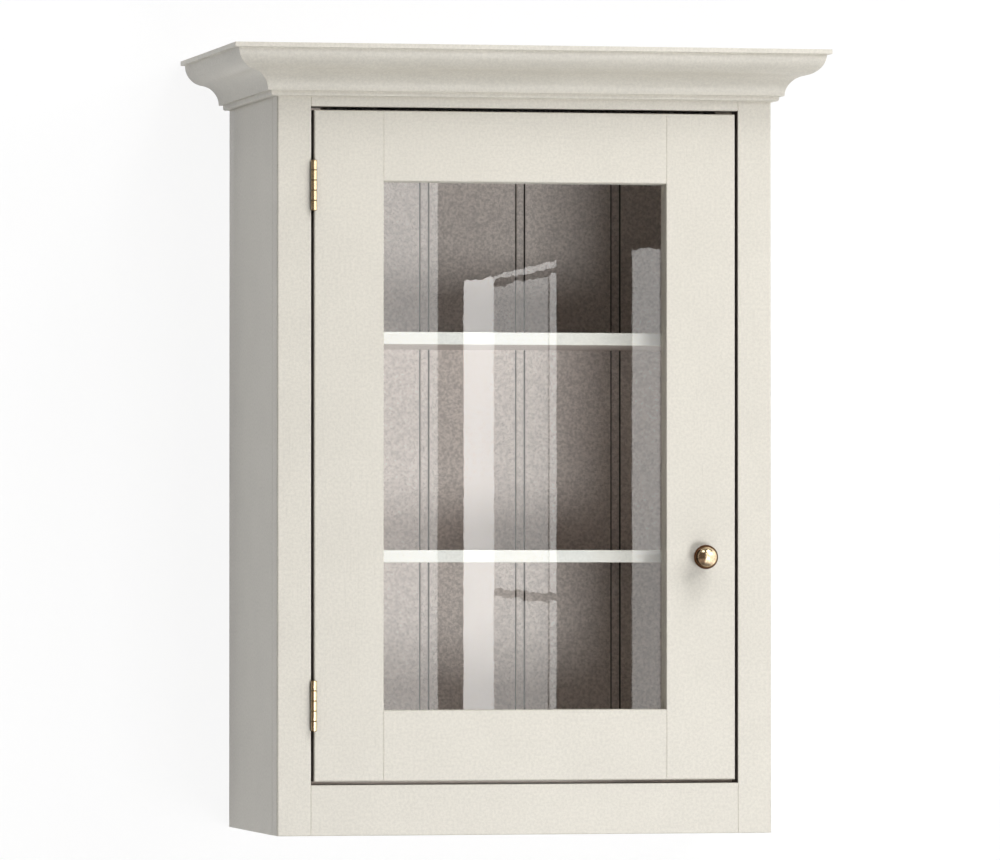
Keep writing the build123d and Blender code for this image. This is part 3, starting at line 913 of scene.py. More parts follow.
class Assembly:
    """Pieces of one sub-assembly, which ride on one CAD body."""

    body = Body.CABINET

    def build(self) -> None:
        """Models, dresses and places every piece."""
        raise NotImplementedError

    def place(self, piece: Piece, finish: Finish, *nodes: str,
              other: tuple[Finish, FaceTest] | None = None) -> None:
        """Finishes a piece, fixes it to its body and lets it stand for CAD nodes.

        Args:
            piece: the modelled piece.
            finish: its finish.
            nodes: the CAD nodes that it stands for.
            other: a second finish and the test of the faces that have it.
        """
        piece.smooth()
        piece.thing.data.materials.clear()
        piece.thing.data.materials.append(finish.material())
        if other:
            piece.thing.data.materials.append(other[0].material())
            piece.pick(other[1], "FACE")
            piece.thing.active_material_index = 1
            bpy.ops.object.material_slot_assign()
            bpy.ops.object.mode_set(mode="OBJECT")
        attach(piece.thing, self.body.value)
        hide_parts(*nodes)
        log.info("%s: %d faces", piece.thing.name, len(piece.thing.data.polygons))

    def dress(self, finish: Finish, *nodes: str) -> None:
        """Gives CAD nodes whose shape is right a finish.

        Args:
            finish: the finish.
            nodes: the CAD nodes.
        """
        for node in nodes:
            for slot in frame["nodes"][node].material_slots:
                slot.material = finish.material()
            log.info("%s: CAD shape in %s", node, finish.name)


@dataclass
class Carcass(Assembly):
    """Two side panels rebated for the back, the top and bottom panels and the hanging rails."""

    arris: float = 0.5 * MM
    seam: float = 1.2 * MM
    foot_radius: float = 3 * MM
    rebate_width: float = 9 * MM

    def build(self) -> None:
        """Models the carcass boards."""
        back_face = Box.of("back_board_1").front
        for side, sign in (("left", -1), ("right", 1)):
            node = f"side_panel_{side}"
            panel = Box.of(node)
            inner, outer = (panel.right, panel.left) if sign < 0 else (panel.left, panel.right)
            step = inner + sign * self.rebate_width
            outline = [(inner, panel.front), (outer, panel.front), (outer, panel.back),
                       (step, panel.back), (step, back_face), (inner, back_face)]
            piece = Piece.extruded(f"{node}_look", outline, Axis.Z, panel.bottom, panel.top)
            piece.ease(self.arris, [
                (along(Axis.Z, x=outer, y=panel.front), self.seam),
                (along(Axis.X, y=0, z=0), self.foot_radius),
            ])
            self.place(piece, UPRIGHT_PAINT, node)
        left, right = Box.of("side_panel_left").right, Box.of("side_panel_right").left
        for node in ("bottom_panel", "top_panel", "hanging_rail_bottom", "hanging_rail_top"):
            board = Box.of(node)
            low, high = (left, board.front, board.bottom), (right, board.back, board.top)
            self.place(Piece.block(f"{node}_look", low, high).ease(self.arris), INSIDE_LEVEL, node)


@dataclass
class BackBoards(Assembly):
    """Tongue-and-groove boards, each with a bead between two quirks at its left joint."""

    quirk_width: float = 1.6 * MM
    quirk_depth: float = 3.6 * MM
    bead_spacing: float = 11.2 * MM
    bead_radius: float = 1.6 * MM
    bore_length: float = 100 * MM
    count: int = 5

    def build(self) -> None:
        """Models each board as a section with its beads and quirks."""
        boards = [Box.of(f"back_board_{number}") for number in range(1, self.count + 1)]
        edges = [board.left for board in boards] + [boards[-1].right]
        for index, (board, low, high) in enumerate(zip(boards, edges, edges[1:])):
            node = f"back_board_{index + 1}"
            outline = self.outline(low, high, board.front, board.back, index > 0, index < self.count - 1)
            piece = Piece.extruded(f"{node}_look", outline, Axis.Z, board.bottom, board.top)
            piece.combine(self.bores(low, high))
            # The quirks' sides and floors are given a near-black painted shade.
            self.place(piece, INSIDE_UPRIGHT, node, other=(QUIRK_PAINTED_SHADE, self.in_quirk))
        self.dress(ZINC, "back_board_pins")

    def in_quirk(self, face: bmesh.types.BMFace) -> bool:
        """Tests for the sides and the floor of a quirk, which take a near-black painted shade.

        Args:
            face: a face of a board.

        Returns:
            True if it is one of them.
        """
        depth = face.calc_center_median().y - Box.of("back_board_1").front
        upright = abs(face.normal.z) < HALF
        return upright and self.bead_radius < depth < self.quirk_depth + TINY and face.normal.y < HALF

    def outline(self, low: float, high: float, front: float, back: float,
                joined_left: bool, joined_right: bool) -> Section:
        """A board's section, seen from above.

        Args:
            low: the board's left edge.
            high: its right edge.
            front: the face that looks into the room.
            back: the face on the wall.
            joined_left: whether a board stands at its left, so that it has the bead.
            joined_right: whether a board stands at its right.

        Returns:
            The section's corners.
        """
        half, floor = self.quirk_width / 2, front + self.quirk_depth
        face = [(low, front)]
        if joined_left:
            bead_low, bead_high = low + half, low + self.bead_spacing - half
            crown = front + self.bead_radius
            face = [(low, floor), (bead_low, floor)]
            face += arc((bead_low + self.bead_radius, crown), self.bead_radius, 180, 270, steps=6)
            face += arc((bead_high - self.bead_radius, crown), self.bead_radius, 270, 360, steps=6)
            face += [(bead_high, floor), (bead_high + self.quirk_width, floor)]
            face += [(bead_high + self.quirk_width, front)]
        if joined_right:
            face += [(high - half, front), (high - half, floor), (high, floor)]
        else:
            face += [(high, front)]
        return face + [(high, back), (low, back)]

    def bores(self, low: float, high: float) -> list[Piece]:
        """Cutters for the wall-screw holes that a board has.

        Args:
            low: the board's left edge.
            high: its right edge.

        Returns:
            The cutters.
        """
        pattern = next(m for m in frame["record"]["mounts"] if m["name"] == "wall_screws")
        sizes, (x, y, z) = pattern["dims"], pattern["pos_m"]
        half_x, half_z = sizes["spacing_x_mm"] * MM / 2, sizes["spacing_y_mm"] * MM / 2
        radius = sizes["hole_r_mm"] * MM
        return [Piece.drum("bore", (hole_x, y, hole_z), Axis.Y, radius, self.bore_length, sides=32)
                for hole_x in (x - half_x, x + half_x) if low < hole_x < high
                for hole_z in (z - half_z, z + half_z)]


@dataclass
class FaceFrame(Assembly):
    """Two full-height stiles and two rails between them, flush round the door."""

    corner_radius: float = 2.5 * MM
    arris: float = 2.0 * MM
    seam: float = 1.2 * MM
    joint: float = 0.4 * MM

    def build(self) -> None:
        """Models the four members."""
        left, right = Box.of("face_frame_stile_left"), Box.of("face_frame_stile_right")
        low_rail, high_rail = Box.of("face_frame_rail_bottom"), Box.of("face_frame_rail_top")
        for side, stile, inner, outer in (("left", left, left.right, left.left),
                                          ("right", right, right.left, right.right)):
            node = f"face_frame_stile_{side}"
            piece = Piece.block(f"{node}_look", *stile.corners)
            for height in (low_rail.top, high_rail.bottom):
                piece.score((0, 0, height), (0, 0, 1))
            middle = (low_rail.top + high_rail.bottom) / 2
            piece.ease(self.seam, [
                (along(Axis.Z, x=inner, y=left.front), self.joint),
                (along(Axis.Z, x=inner, y=left.front, z=middle), self.arris),
                (along(Axis.Z, x=outer, y=left.front), self.corner_radius),
            ])
            # The stile's side that faces the door gap gets a painted shade.
            self.place(piece, UPRIGHT_PAINT, node, other=(GAP_PAINTED_SHADE, flat_at(Axis.X, inner)))
        for name, rail, edge_z in (("bottom", low_rail, low_rail.top), ("top", high_rail, high_rail.bottom)):
            node = f"face_frame_rail_{name}"
            corners = (left.right, rail.front, rail.bottom), (right.left, rail.back, rail.top)
            piece = Piece.block(f"{node}_look", *corners).ease(self.joint, [
                (along(Axis.X), self.seam),
                (along(Axis.X, y=rail.front, z=edge_z), self.arris),
            ])
            # The rail's side that faces the door gap gets a painted shade.
            self.place(piece, LEVEL_PAINT, node, other=(GAP_PAINTED_SHADE, flat_at(Axis.Z, edge_z)))
        self.dress(RAW_TIMBER, "face_frame_dowels")


@dataclass
class Cornice(Assembly):
    """A cyma crown moulding over a small bead, mitred at both front corners."""

    bead_height: float = 6 * MM
    bead_projection: float = 8 * MM
    bead_radius: float = 2.5 * MM
    cyma_height: float = 48 * MM
    cyma_foot: float = 13.4 * MM
    cyma_head: float = 55.2 * MM
    ovolo_radius: float = 24.5 * MM
    edge: float = 0.4 * MM

    def build(self) -> None:
        """Models the front length and its two returns."""
        long, body = Box.of("cornice_front"), Box.of("face_frame_rail_top")
        stile_left, stile_right = Box.of("face_frame_stile_left"), Box.of("face_frame_stile_right")
        section = self.section(long.bottom, long.top, long.back - long.front)
        corners = {"left": (stile_left.left, body.front, 0), "right": (stile_right.right, body.front, 0)}
        signs = {"left": -1, "right": 1}
        front = Piece.extruded("cornice_front_look", [(body.front - out, z) for out, z in section],
                               Axis.X, long.left, long.right)
        for side, corner in corners.items():
            front.cut(corner, (signs[side], 1, 0))
        self.place(front.ease(self.edge, segments=2), LEVEL_PAINT, "cornice_front")
        for side, corner in corners.items():
            sign, node = signs[side], f"cornice_{side}"
            outline = [(corner[0] + sign * out, z) for out, z in section]
            piece = Piece.extruded(f"{node}_look", outline, Axis.Y, long.front, 0)
            piece.cut(corner, (-sign, -1, 0))
            self.place(piece.ease(self.edge, segments=2), RETURN_PAINT, node)
        self.dress(RAW_TIMBER, "cornice_glue_blocks")

    def section(self, bottom: float, top: float, projection: float) -> Section:
        """The moulding's section: how far each point stands out of the body, and its height.

        Args:
            bottom: the height of the bead's underside.
            top: the height of the top fillet's upper edge.
            projection: how far the top fillet stands out.

        Returns:
            The section's points.
        """
        foot = bottom + self.bead_height
        head = foot + self.cyma_height
        turn = 2 * atan2(self.cyma_head - self.cyma_foot, self.cyma_height)
        cove_radius = self.cyma_height / sin(turn) - self.ovolo_radius
        degrees_turned = degrees(turn)
        bead = arc((self.bead_projection - self.bead_radius, bottom + self.bead_radius),
                   self.bead_radius, -90, 0, steps=8)
        cove = arc((self.cyma_foot + cove_radius, foot), cove_radius, 180, 180 - degrees_turned, steps=20)
        ovolo = arc((self.cyma_head - self.ovolo_radius, head), self.ovolo_radius, -degrees_turned, 0,
                    steps=20)
        return [(0, bottom), *bead, (self.bead_projection, foot), *cove, *ovolo[1:],
                (projection, head), (projection, top), (0, top)]


@dataclass
class Shelves(Assembly):
    """Two loose shelves on steel pins."""

    arris: float = 1.0 * MM

    def build(self) -> None:
        """Models both shelves."""
        for place in ("lower", "upper"):
            node = f"shelf_{place}"
            piece = Piece.block(f"{node}_look", *Box.of(node).corners).ease(self.arris)
            # The shelves' front faces alone get the whiter paint, partly painted light.
            self.place(piece, INSIDE_LEVEL, node, other=(SHELF_FRONT_PAINTED_LIGHT, lambda face: face.normal.y < -HALF))
        self.dress(ZINC, "shelf_pins")


@dataclass
class GlazedDoor(Assembly):
    """Stiles and rails rebated for a pane, and the mitred beads that hold it."""

    body = Body.DOOR
    arris: float = 2.0 * MM
    joint: float = 0.4 * MM
    rebate_width: float = 10 * MM
    bead_chamfer: float = 1.5 * MM
    glass_seam: float = 0.4 * MM

    def __post_init__(self) -> None:
        """Reads the members' boxes and the sides of the opening, seen from the front."""
        self.hinge_stile, self.knob_stile = Box.of("door_stile_hinge"), Box.of("door_stile_knob")
        self.low_rail, self.high_rail = Box.of("door_rail_bottom"), Box.of("door_rail_top")
        self.pane = Box.of("glass_pane")
        self.sight = {"left": self.hinge_stile.right, "right": self.knob_stile.left,
                      "bottom": self.low_rail.top, "top": self.high_rail.bottom}

    def build(self) -> None:
        """Models the members, the beads and the pane."""
        self.stiles()
        self.rails()
        self.beads()
        self.place(Piece.block("glass_pane_look", *self.pane.corners).ease(self.glass_seam, segments=1),
                   CLEAR_GLASS, "glass_pane")
        self.dress(ZINC, "glazing_pins")

    def stiles(self) -> None:
        """Models the two uprights."""
        sight = self.sight
        for name, stile, inner, outer, sign in (
            ("hinge", self.hinge_stile, sight["left"], self.hinge_stile.left, -1),
            ("knob", self.knob_stile, sight["right"], self.knob_stile.right, 1),
        ):
            node = f"door_stile_{name}"
            step, clear = inner + sign * self.rebate_width, inner - sign * self.rebate_width
            piece = Piece.block(f"{node}_look", *stile.corners)
            low = (min(step, clear), self.pane.front, sight["bottom"] - self.rebate_width)
            high = (max(step, clear), stile.back + MM, sight["top"] + self.rebate_width)
            piece.combine([Piece.block("rebate", low, high)])
            for height in (sight["bottom"], sight["top"]):
                piece.score((0, 0, height), (0, 0, 1))
            middle = (sight["bottom"] + sight["top"]) / 2
            piece.ease(self.joint, [
                (along(Axis.Z, x=inner, y=stile.front, z=middle), self.arris),
                (along(Axis.Z, x=outer), self.arris),
                (lambda edge: edge.runs(Axis.X) and not self.on_sight(edge.middle.z), self.arris),
            ])
            # The stile's outer rim, inside the gap, gets a painted shade.
            self.place(piece, UPRIGHT_PAINT, node, other=(GAP_PAINTED_SHADE, looking(Axis.X, sign)))

    def on_sight(self, height: float) -> bool:
        """True if a height is the opening's top or bottom."""
        return min(abs(height - self.sight[edge]) for edge in ("bottom", "top")) < TINY

    def rails(self) -> None:
        """Models the two members between the stiles."""
        sight = self.sight
        for name, rail, inner, outer, sign in (
            ("bottom", self.low_rail, sight["bottom"], self.low_rail.bottom, -1),
            ("top", self.high_rail, sight["top"], self.high_rail.top, 1),
        ):
            node = f"door_rail_{name}"
            step = inner + sign * self.rebate_width
            outline = [(rail.front, inner), (rail.front, outer), (rail.back, outer),
                       (rail.back, step), (self.pane.front, step), (self.pane.front, inner)]
            piece = Piece.extruded(f"{node}_look", outline, Axis.X, sight["left"], sight["right"])
            piece.ease(self.joint, [
                (along(Axis.X, y=rail.front), self.arris),
                (along(Axis.X, z=outer), self.arris),
            ])
            # The rail's outer rim, inside the gap, gets a painted shade.
            self.place(piece, LEVEL_PAINT, node, other=(GAP_PAINTED_SHADE, looking(Axis.Z, sign)))

    def beads(self) -> None:
        """Models the four glazing beads, mitred at the corners."""
        sight, glass_back, door_back = self.sight, self.pane.back, self.hinge_stile.back
        for name, sign, axis, finish in (
            ("left", -1, Axis.Z, UPRIGHT_PAINT), ("right", 1, Axis.Z, UPRIGHT_PAINT),
            ("bottom", -1, Axis.X, LEVEL_PAINT), ("top", 1, Axis.X, LEVEL_PAINT),
        ):
            node = f"glazing_bead_{name}"
            inner, outer = sight[name], sight[name] + sign * self.rebate_width
            corners = [(inner, glass_back), (outer, glass_back), (outer, door_back),
                       (inner + sign * self.bead_chamfer, door_back), (inner, door_back - self.bead_chamfer)]
            upright = axis is Axis.Z
            outline = corners if upright else [(depth, height) for height, depth in corners]
            ends = ("bottom", "top") if upright else ("left", "right")
            low, high = (sight[end] for end in ends)
            piece = Piece.extruded(f"{node}_look", outline, axis,
                                   low - self.rebate_width, high + self.rebate_width)
            for end, end_sign in zip(ends, (-1, 1)):
                point = (inner, 0, sight[end]) if upright else (sight[end], 0, inner)
                normal = (-sign, 0, end_sign) if upright else (end_sign, 0, -sign)
                piece.cut(point, normal)
            self.place(piece.ease(self.joint, segments=2), finish, node)


@dataclass
class ButtHinge(Assembly):
    """One brass butt hinge: two leaves, five knuckles and their pin."""

    place_name: str
    leaf_thickness: float = 2.0 * MM
    leaf_width: float = 18.0 * MM
    knuckle_radius: float = 3.6 * MM
    knuckle_count: int = 5
    end_play: float = 0.2 * MM
    knuckle_edge: float = 0.6 * MM
    leaf_edge: float = 0.2 * MM
    web_depth: float = 3.0 * MM
    screw_step: float = 21.0 * MM
    screw_stagger: float = 3.0 * MM
    screw_head: float = 3.25 * MM
    screw_shank: float = 1.45 * MM

    def build(self) -> None:
        """Models both leaves."""
        frame_side, door_side = Box.of("face_frame_stile_left").right, Box.of("door_stile_hinge").left
        for owner, edge_x, first, body in (("frame", frame_side, 0, Body.CABINET),
                                           ("door", door_side, 1, Body.DOOR)):
            node = f"hinge_{self.place_name}_{owner}_leaf"
            self.body = body
            # The knuckles' eased ends get a dark painted shade.
            self.place(self.leaf(node, edge_x, first), BARREL_BRASS, node, other=(KNUCKLE_PAINTED_SHADE, self.at_joint))
        self.dress(HINGE_BRASS, f"hinge_{self.place_name}_pin")

    @staticmethod
    def at_joint(face: bmesh.types.BMFace) -> bool:
        """True for the eased ends of the knuckles, which take a dark painted shade."""
        proud = face.calc_center_median().y < Box.of("door_stile_hinge").front
        return proud and abs(face.normal.z) > EASED

    def leaf(self, node: str, edge_x: float, first: int) -> Piece:
        """A countersunk leaf with every other knuckle.

        Args:
            node: the CAD node that it stands for.
            edge_x: the timber face that the leaf lies against.
            first: the number of its lowest knuckle.

        Returns:
            The leaf, one closed solid.
        """
        whole, front = Box.of(node), Box.of("face_frame_stile_left").front
        pin_x, pin_y, _ = frame["joints"][0]["pos_m"]
        far_x = edge_x + self.leaf_thickness
        piece = Piece.block(f"{node}_look", (edge_x, front, whole.bottom),
                            (far_x, front + self.leaf_width, whole.top)).ease(self.leaf_edge, segments=2)
        pitch = (whole.top - whole.bottom) / self.knuckle_count
        for number in range(first, self.knuckle_count, 2):
            low = whole.bottom + number * pitch + self.end_play / 2
            high = low + pitch - self.end_play
            knuckle = Piece.drum("knuckle", (pin_x, pin_y, (low + high) / 2), Axis.Z,
                                 self.knuckle_radius, high - low).ease(self.knuckle_edge)
            web = Piece.block("web", (edge_x + TINY, pin_y, low),
                              (far_x - TINY, front + self.web_depth, high))
            piece.combine([web, knuckle], "UNION")
        return piece.combine(self.countersinks(edge_x, front, (whole.bottom + whole.top) / 2, first))

    def countersinks(self, edge_x: float, front: float, middle: float, first: int) -> list[Piece]:
        """Cutters for the screws' heads, which sit flush in the leaf's open face.

        Args:
            edge_x: the timber face that the leaf lies against.
            front: the timber's front face.
            middle: the height of the hinge's middle.
            first: the number of the leaf's lowest knuckle, 0 on the frame and 1 on the door.

        Returns:
            The cutters.
        """
        cutters = []
        side = 1 if first == 0 else -1
        radii = (self.screw_shank, self.screw_head)[::side]
        depth = self.screw_head - self.screw_shank
        inset = Vector((side * (self.leaf_thickness - depth) / 2, 0, 0))
        for index in (-1, 0, 1):
            place = Vector((edge_x + self.leaf_thickness / 2, front + self.leaf_width / 2, middle))
            place += Vector((0, self.screw_stagger * (-1) ** (index + 1), index * self.screw_step))
            cutters.append(Piece.drum("shank", place, Axis.X, self.screw_shank,
                                      4 * self.leaf_thickness, sides=32))
            cutters.append(Piece.drum("sink", place + inset, Axis.X, radii[0], depth, radii[1], sides=32))
        return cutters


@dataclass
class BallKnob(Assembly):
    """A turned brass ball on a coved neck and a small foot."""

    body = Body.DOOR
    ball_radius: float = 14.4 * MM
    centre_height: float = 18.0 * MM
    neck_radius: float = 5.0 * MM
    foot_radius: float = 8.0 * MM
    foot_height: float = 2.0 * MM
    lip_radius: float = 0.8 * MM
    cove_width: float = 1.0 * MM

    def build(self) -> None:
        """Turns the knob on the lathe."""
        whole = Box.of("knob")
        foot = (whole.centre.x, Box.of("door_stile_knob").front, whole.centre.z)
        start = atan2(-sqrt(self.ball_radius**2 - self.neck_radius**2), self.neck_radius)
        ball = arc((0, self.centre_height), self.ball_radius, degrees(start), 90, steps=40)
        lip = arc((self.foot_radius - self.lip_radius, self.foot_height - self.lip_radius),
                  self.lip_radius, 0, 90, steps=5)
        cove_foot = (self.neck_radius + self.cove_width, self.foot_height)
        outline = [(0, 0), (self.foot_radius, 0), *lip, cove_foot, *ball]
        knob = Piece.turned("knob_look", outline, foot)
        self.place(knob, KNOB_BRASS, "knob")
        self.dress(ZINC, "knob_screw")


@dataclass
class Fittings(Assembly):
    """The door stop, the magnetic catch and the screws that show when the door is open."""

    arris: float = 0.6 * MM
    pocket_clearance: float = 0.1 * MM

    def build(self) -> None:
        """Models the stop with the magnet's pocket, and dresses the fixings."""
        stop, magnet = Box.of("door_stop"), Box.of("catch_magnet")
        piece = Piece.block("door_stop_look", *stop.corners).ease(self.arris)
        radius = (magnet.right - magnet.left) / 2 + self.pocket_clearance
        pocket = Piece.drum("pocket", magnet.centre, Axis.Y, radius, magnet.back - magnet.front)
        self.place(piece.combine([pocket]), INSIDE_LEVEL, "door_stop")
        self.dress(NICKEL, "catch_magnet")
        self.dress(ZINC, "door_stop_screws", "keeper_plate", "keeper_screws")
        self.dress(HINGE_BRASS, "hinge_frame_screws", "hinge_door_screws")


# ---------------------------------------------------------------- studio


@dataclass(frozen=True)
class Softbox:
    """A soft rectangular lamp that faces the cabinet.

    The azimuth is in degrees to the right of straight in front, the height is over the cabinet's
    middle, the distance is from its front along the floor, the glow is 1 for white paper, and the
    beam is the angle of its grid.
    """

    name: str
    azimuth: float
    height: float
    distance: float
    width: float
    tall: float
    glow: float
    beam: float = 180.0

    def build(self, target: Vector) -> None:
        """Sets the lamp up.

        Args:
            target: the cabinet's middle.
        """
        turn = radians(self.azimuth)
        place = target + Vector((sin(turn) * self.distance, -cos(turn) * self.distance, self.height))
        lamp = bpy.data.lights.new(self.name, "AREA")
        lamp.shape = "RECTANGLE"
        lamp.size, lamp.size_y = self.width, self.tall
        lamp.energy = self.glow * pi * self.width * self.tall
        lamp.spread = radians(self.beam)
        thing = bpy.data.objects.new(self.name, lamp)
        thing.location = place
        thing.rotation_euler = (target - place).to_track_quat("-Z", "Y").to_euler()
        thing.visible_camera = False
        bpy.context.scene.collection.objects.link(thing)


def path_of(graph: Graph, *kinds: str) -> Wire:
    """Tells rays apart.

    Args:
        graph: the material's or the world's nodes.
        kinds: the kinds of ray that count, or the depths.

    Returns:
        1 for rays of any of these kinds, or with any of these depths, and 0 for the others.
    """
    path = graph.node("ShaderNodeLightPath")
    total = graph.wire(path, kinds[0])
    for kind in kinds[1:]:
        total = total + graph.wire(path, kind)
    return graph.maths("MINIMUM", total, 1.0)


def clear_mirror(graph: Graph) -> Wire:
    """1 for rays that metal or glass mirrors, and 0 for the others and for those that pass through glass."""
    return path_of(graph, "Is Glossy Ray") * (1 - path_of(graph, "Is Transmission Ray"))


def plain_view(graph: Graph) -> Wire:
    """Tells the rays that may see the room and the cards.

    Args:
        graph: the material's or the world's nodes.

    Returns:
        0 for rays that paint has scattered or that are mirrored inside the cabinet, and 1 for the others.
    """
    crossings = graph.wire(graph.node("ShaderNodeLightPath"), "Transmission Depth")
    inside = path_of(graph, "Glossy Depth") * (crossings > PANE_CROSSINGS)
    return (1 - inside) * (1 - path_of(graph, "Diffuse Depth"))


@dataclass(frozen=True)
class Card:
    """A bright upright strip that stands in front and shows only in glass and metal.

    The bottom and the top are the heights of its lower and upper edges at the left and at the
    right. Ragged is how far each of these edges strays.
    """

    colour = (1, 0.985, 0.97, 1)

    name: str
    left: float
    right: float
    bottom: tuple[float, float]
    top: tuple[float, float]
    glow: float
    ragged: tuple[float, float] = (0, 0)
    tooth: float = 6 * MM
    thickness: float = 2 * MM

    def build(self, depth: float, dice: Random) -> None:
        """Cuts the strip out and stands it up.

        Args:
            depth: the Y at which it stands.
            dice: what the ragged edges are drawn from.
        """
        lower, upper = (self.edge(heights, ragged, dice)
                        for heights, ragged in zip((self.bottom, self.top), self.ragged))
        piece = Piece.extruded(self.name, lower + upper[::-1], Axis.Y, depth - self.thickness, depth)
        graph, material = Graph.of_material(self.name)
        graph.surface(graph.node("ShaderNodeEmission", inputs={
            "Color": self.colour, "Strength": self.glow * plain_view(graph)}))
        material.cycles.emission_sampling = "NONE"
        piece.thing.data.materials.append(material)
        piece.thing.visible_camera = piece.thing.visible_diffuse = piece.thing.visible_shadow = False

    def edge(self, heights: tuple[float, float], ragged: float, dice: Random) -> Section:
        """One edge from left to right.

        Args:
            heights: its heights at the left and at the right.
            ragged: how far it strays from the straight line.
            dice: what the teeth are drawn from.

        Returns:
            Its points.
        """
        width, rise = self.right - self.left, heights[1] - heights[0]
        steps = max(1, round(width / self.tooth)) if ragged else 1
        shares = [step / steps for step in range(steps + 1)]
        return [(self.left + width * share, heights[0] + rise * share + ragged * dice.uniform(-1, 1))
                for share in shares]


LAMPS = (
    Softbox("key", azimuth=42, height=1.6, distance=3.0, width=1.6, tall=1.2, glow=5.6),
    Softbox("top", azimuth=30, height=3.2, distance=2.2, width=1.6, tall=1.2, glow=9.3),
    Softbox("left_top", azimuth=-50, height=5.0, distance=3.5, width=2.2, tall=1.8, glow=3.6),
    Softbox("low", azimuth=12, height=-0.9, distance=3.2, width=1.0, tall=0.8, glow=15.2),
    Softbox("behind", azimuth=180, height=0.9, distance=2.6, width=1.2, tall=1.2, glow=0.9, beam=60.0),
)
CARD_FOOT = (-0.45, -0.45)
CARDS = (
    Card("card_left", 0.26, 0.497, CARD_FOOT, (1.30, 1.30), 2.75),
    Card("card_bright", 0.539, 0.587, CARD_FOOT, (0.763, 0.768), 5.7, (0, 3.5 * MM)),
    Card("card_bar", 0.587, 0.688, (0.763, 0.784), (0.771, 0.794), 3.2, (2.5 * MM, 2.5 * MM)),
    Card("card_middle", 0.587, 0.6745, (0.279, 0.268), (0.750, 0.772), 2.65, (3 * MM, 4 * MM)),
    Card("card_middle_strip", 0.677, 0.688, (0.272, 0.270), (0.772, 0.776), 3.3, (2 * MM, 3 * MM)),
    Card("card_middle_low", 0.587, 0.6745, CARD_FOOT, (0.264, 0.256), 2.5, (0, 3 * MM)),
    Card("card_middle_low_strip", 0.677, 0.688, CARD_FOOT, (0.258, 0.256), 3.0, (0, 2 * MM)),
    Card("card_right", 0.811, 0.96, (0.33, 0.33), (0.812, 0.822), 3.0, (0, 3 * MM)),
    Card("card_right_low", 0.811, 0.96, CARD_FOOT, (0.33, 0.33), 2.25),
)


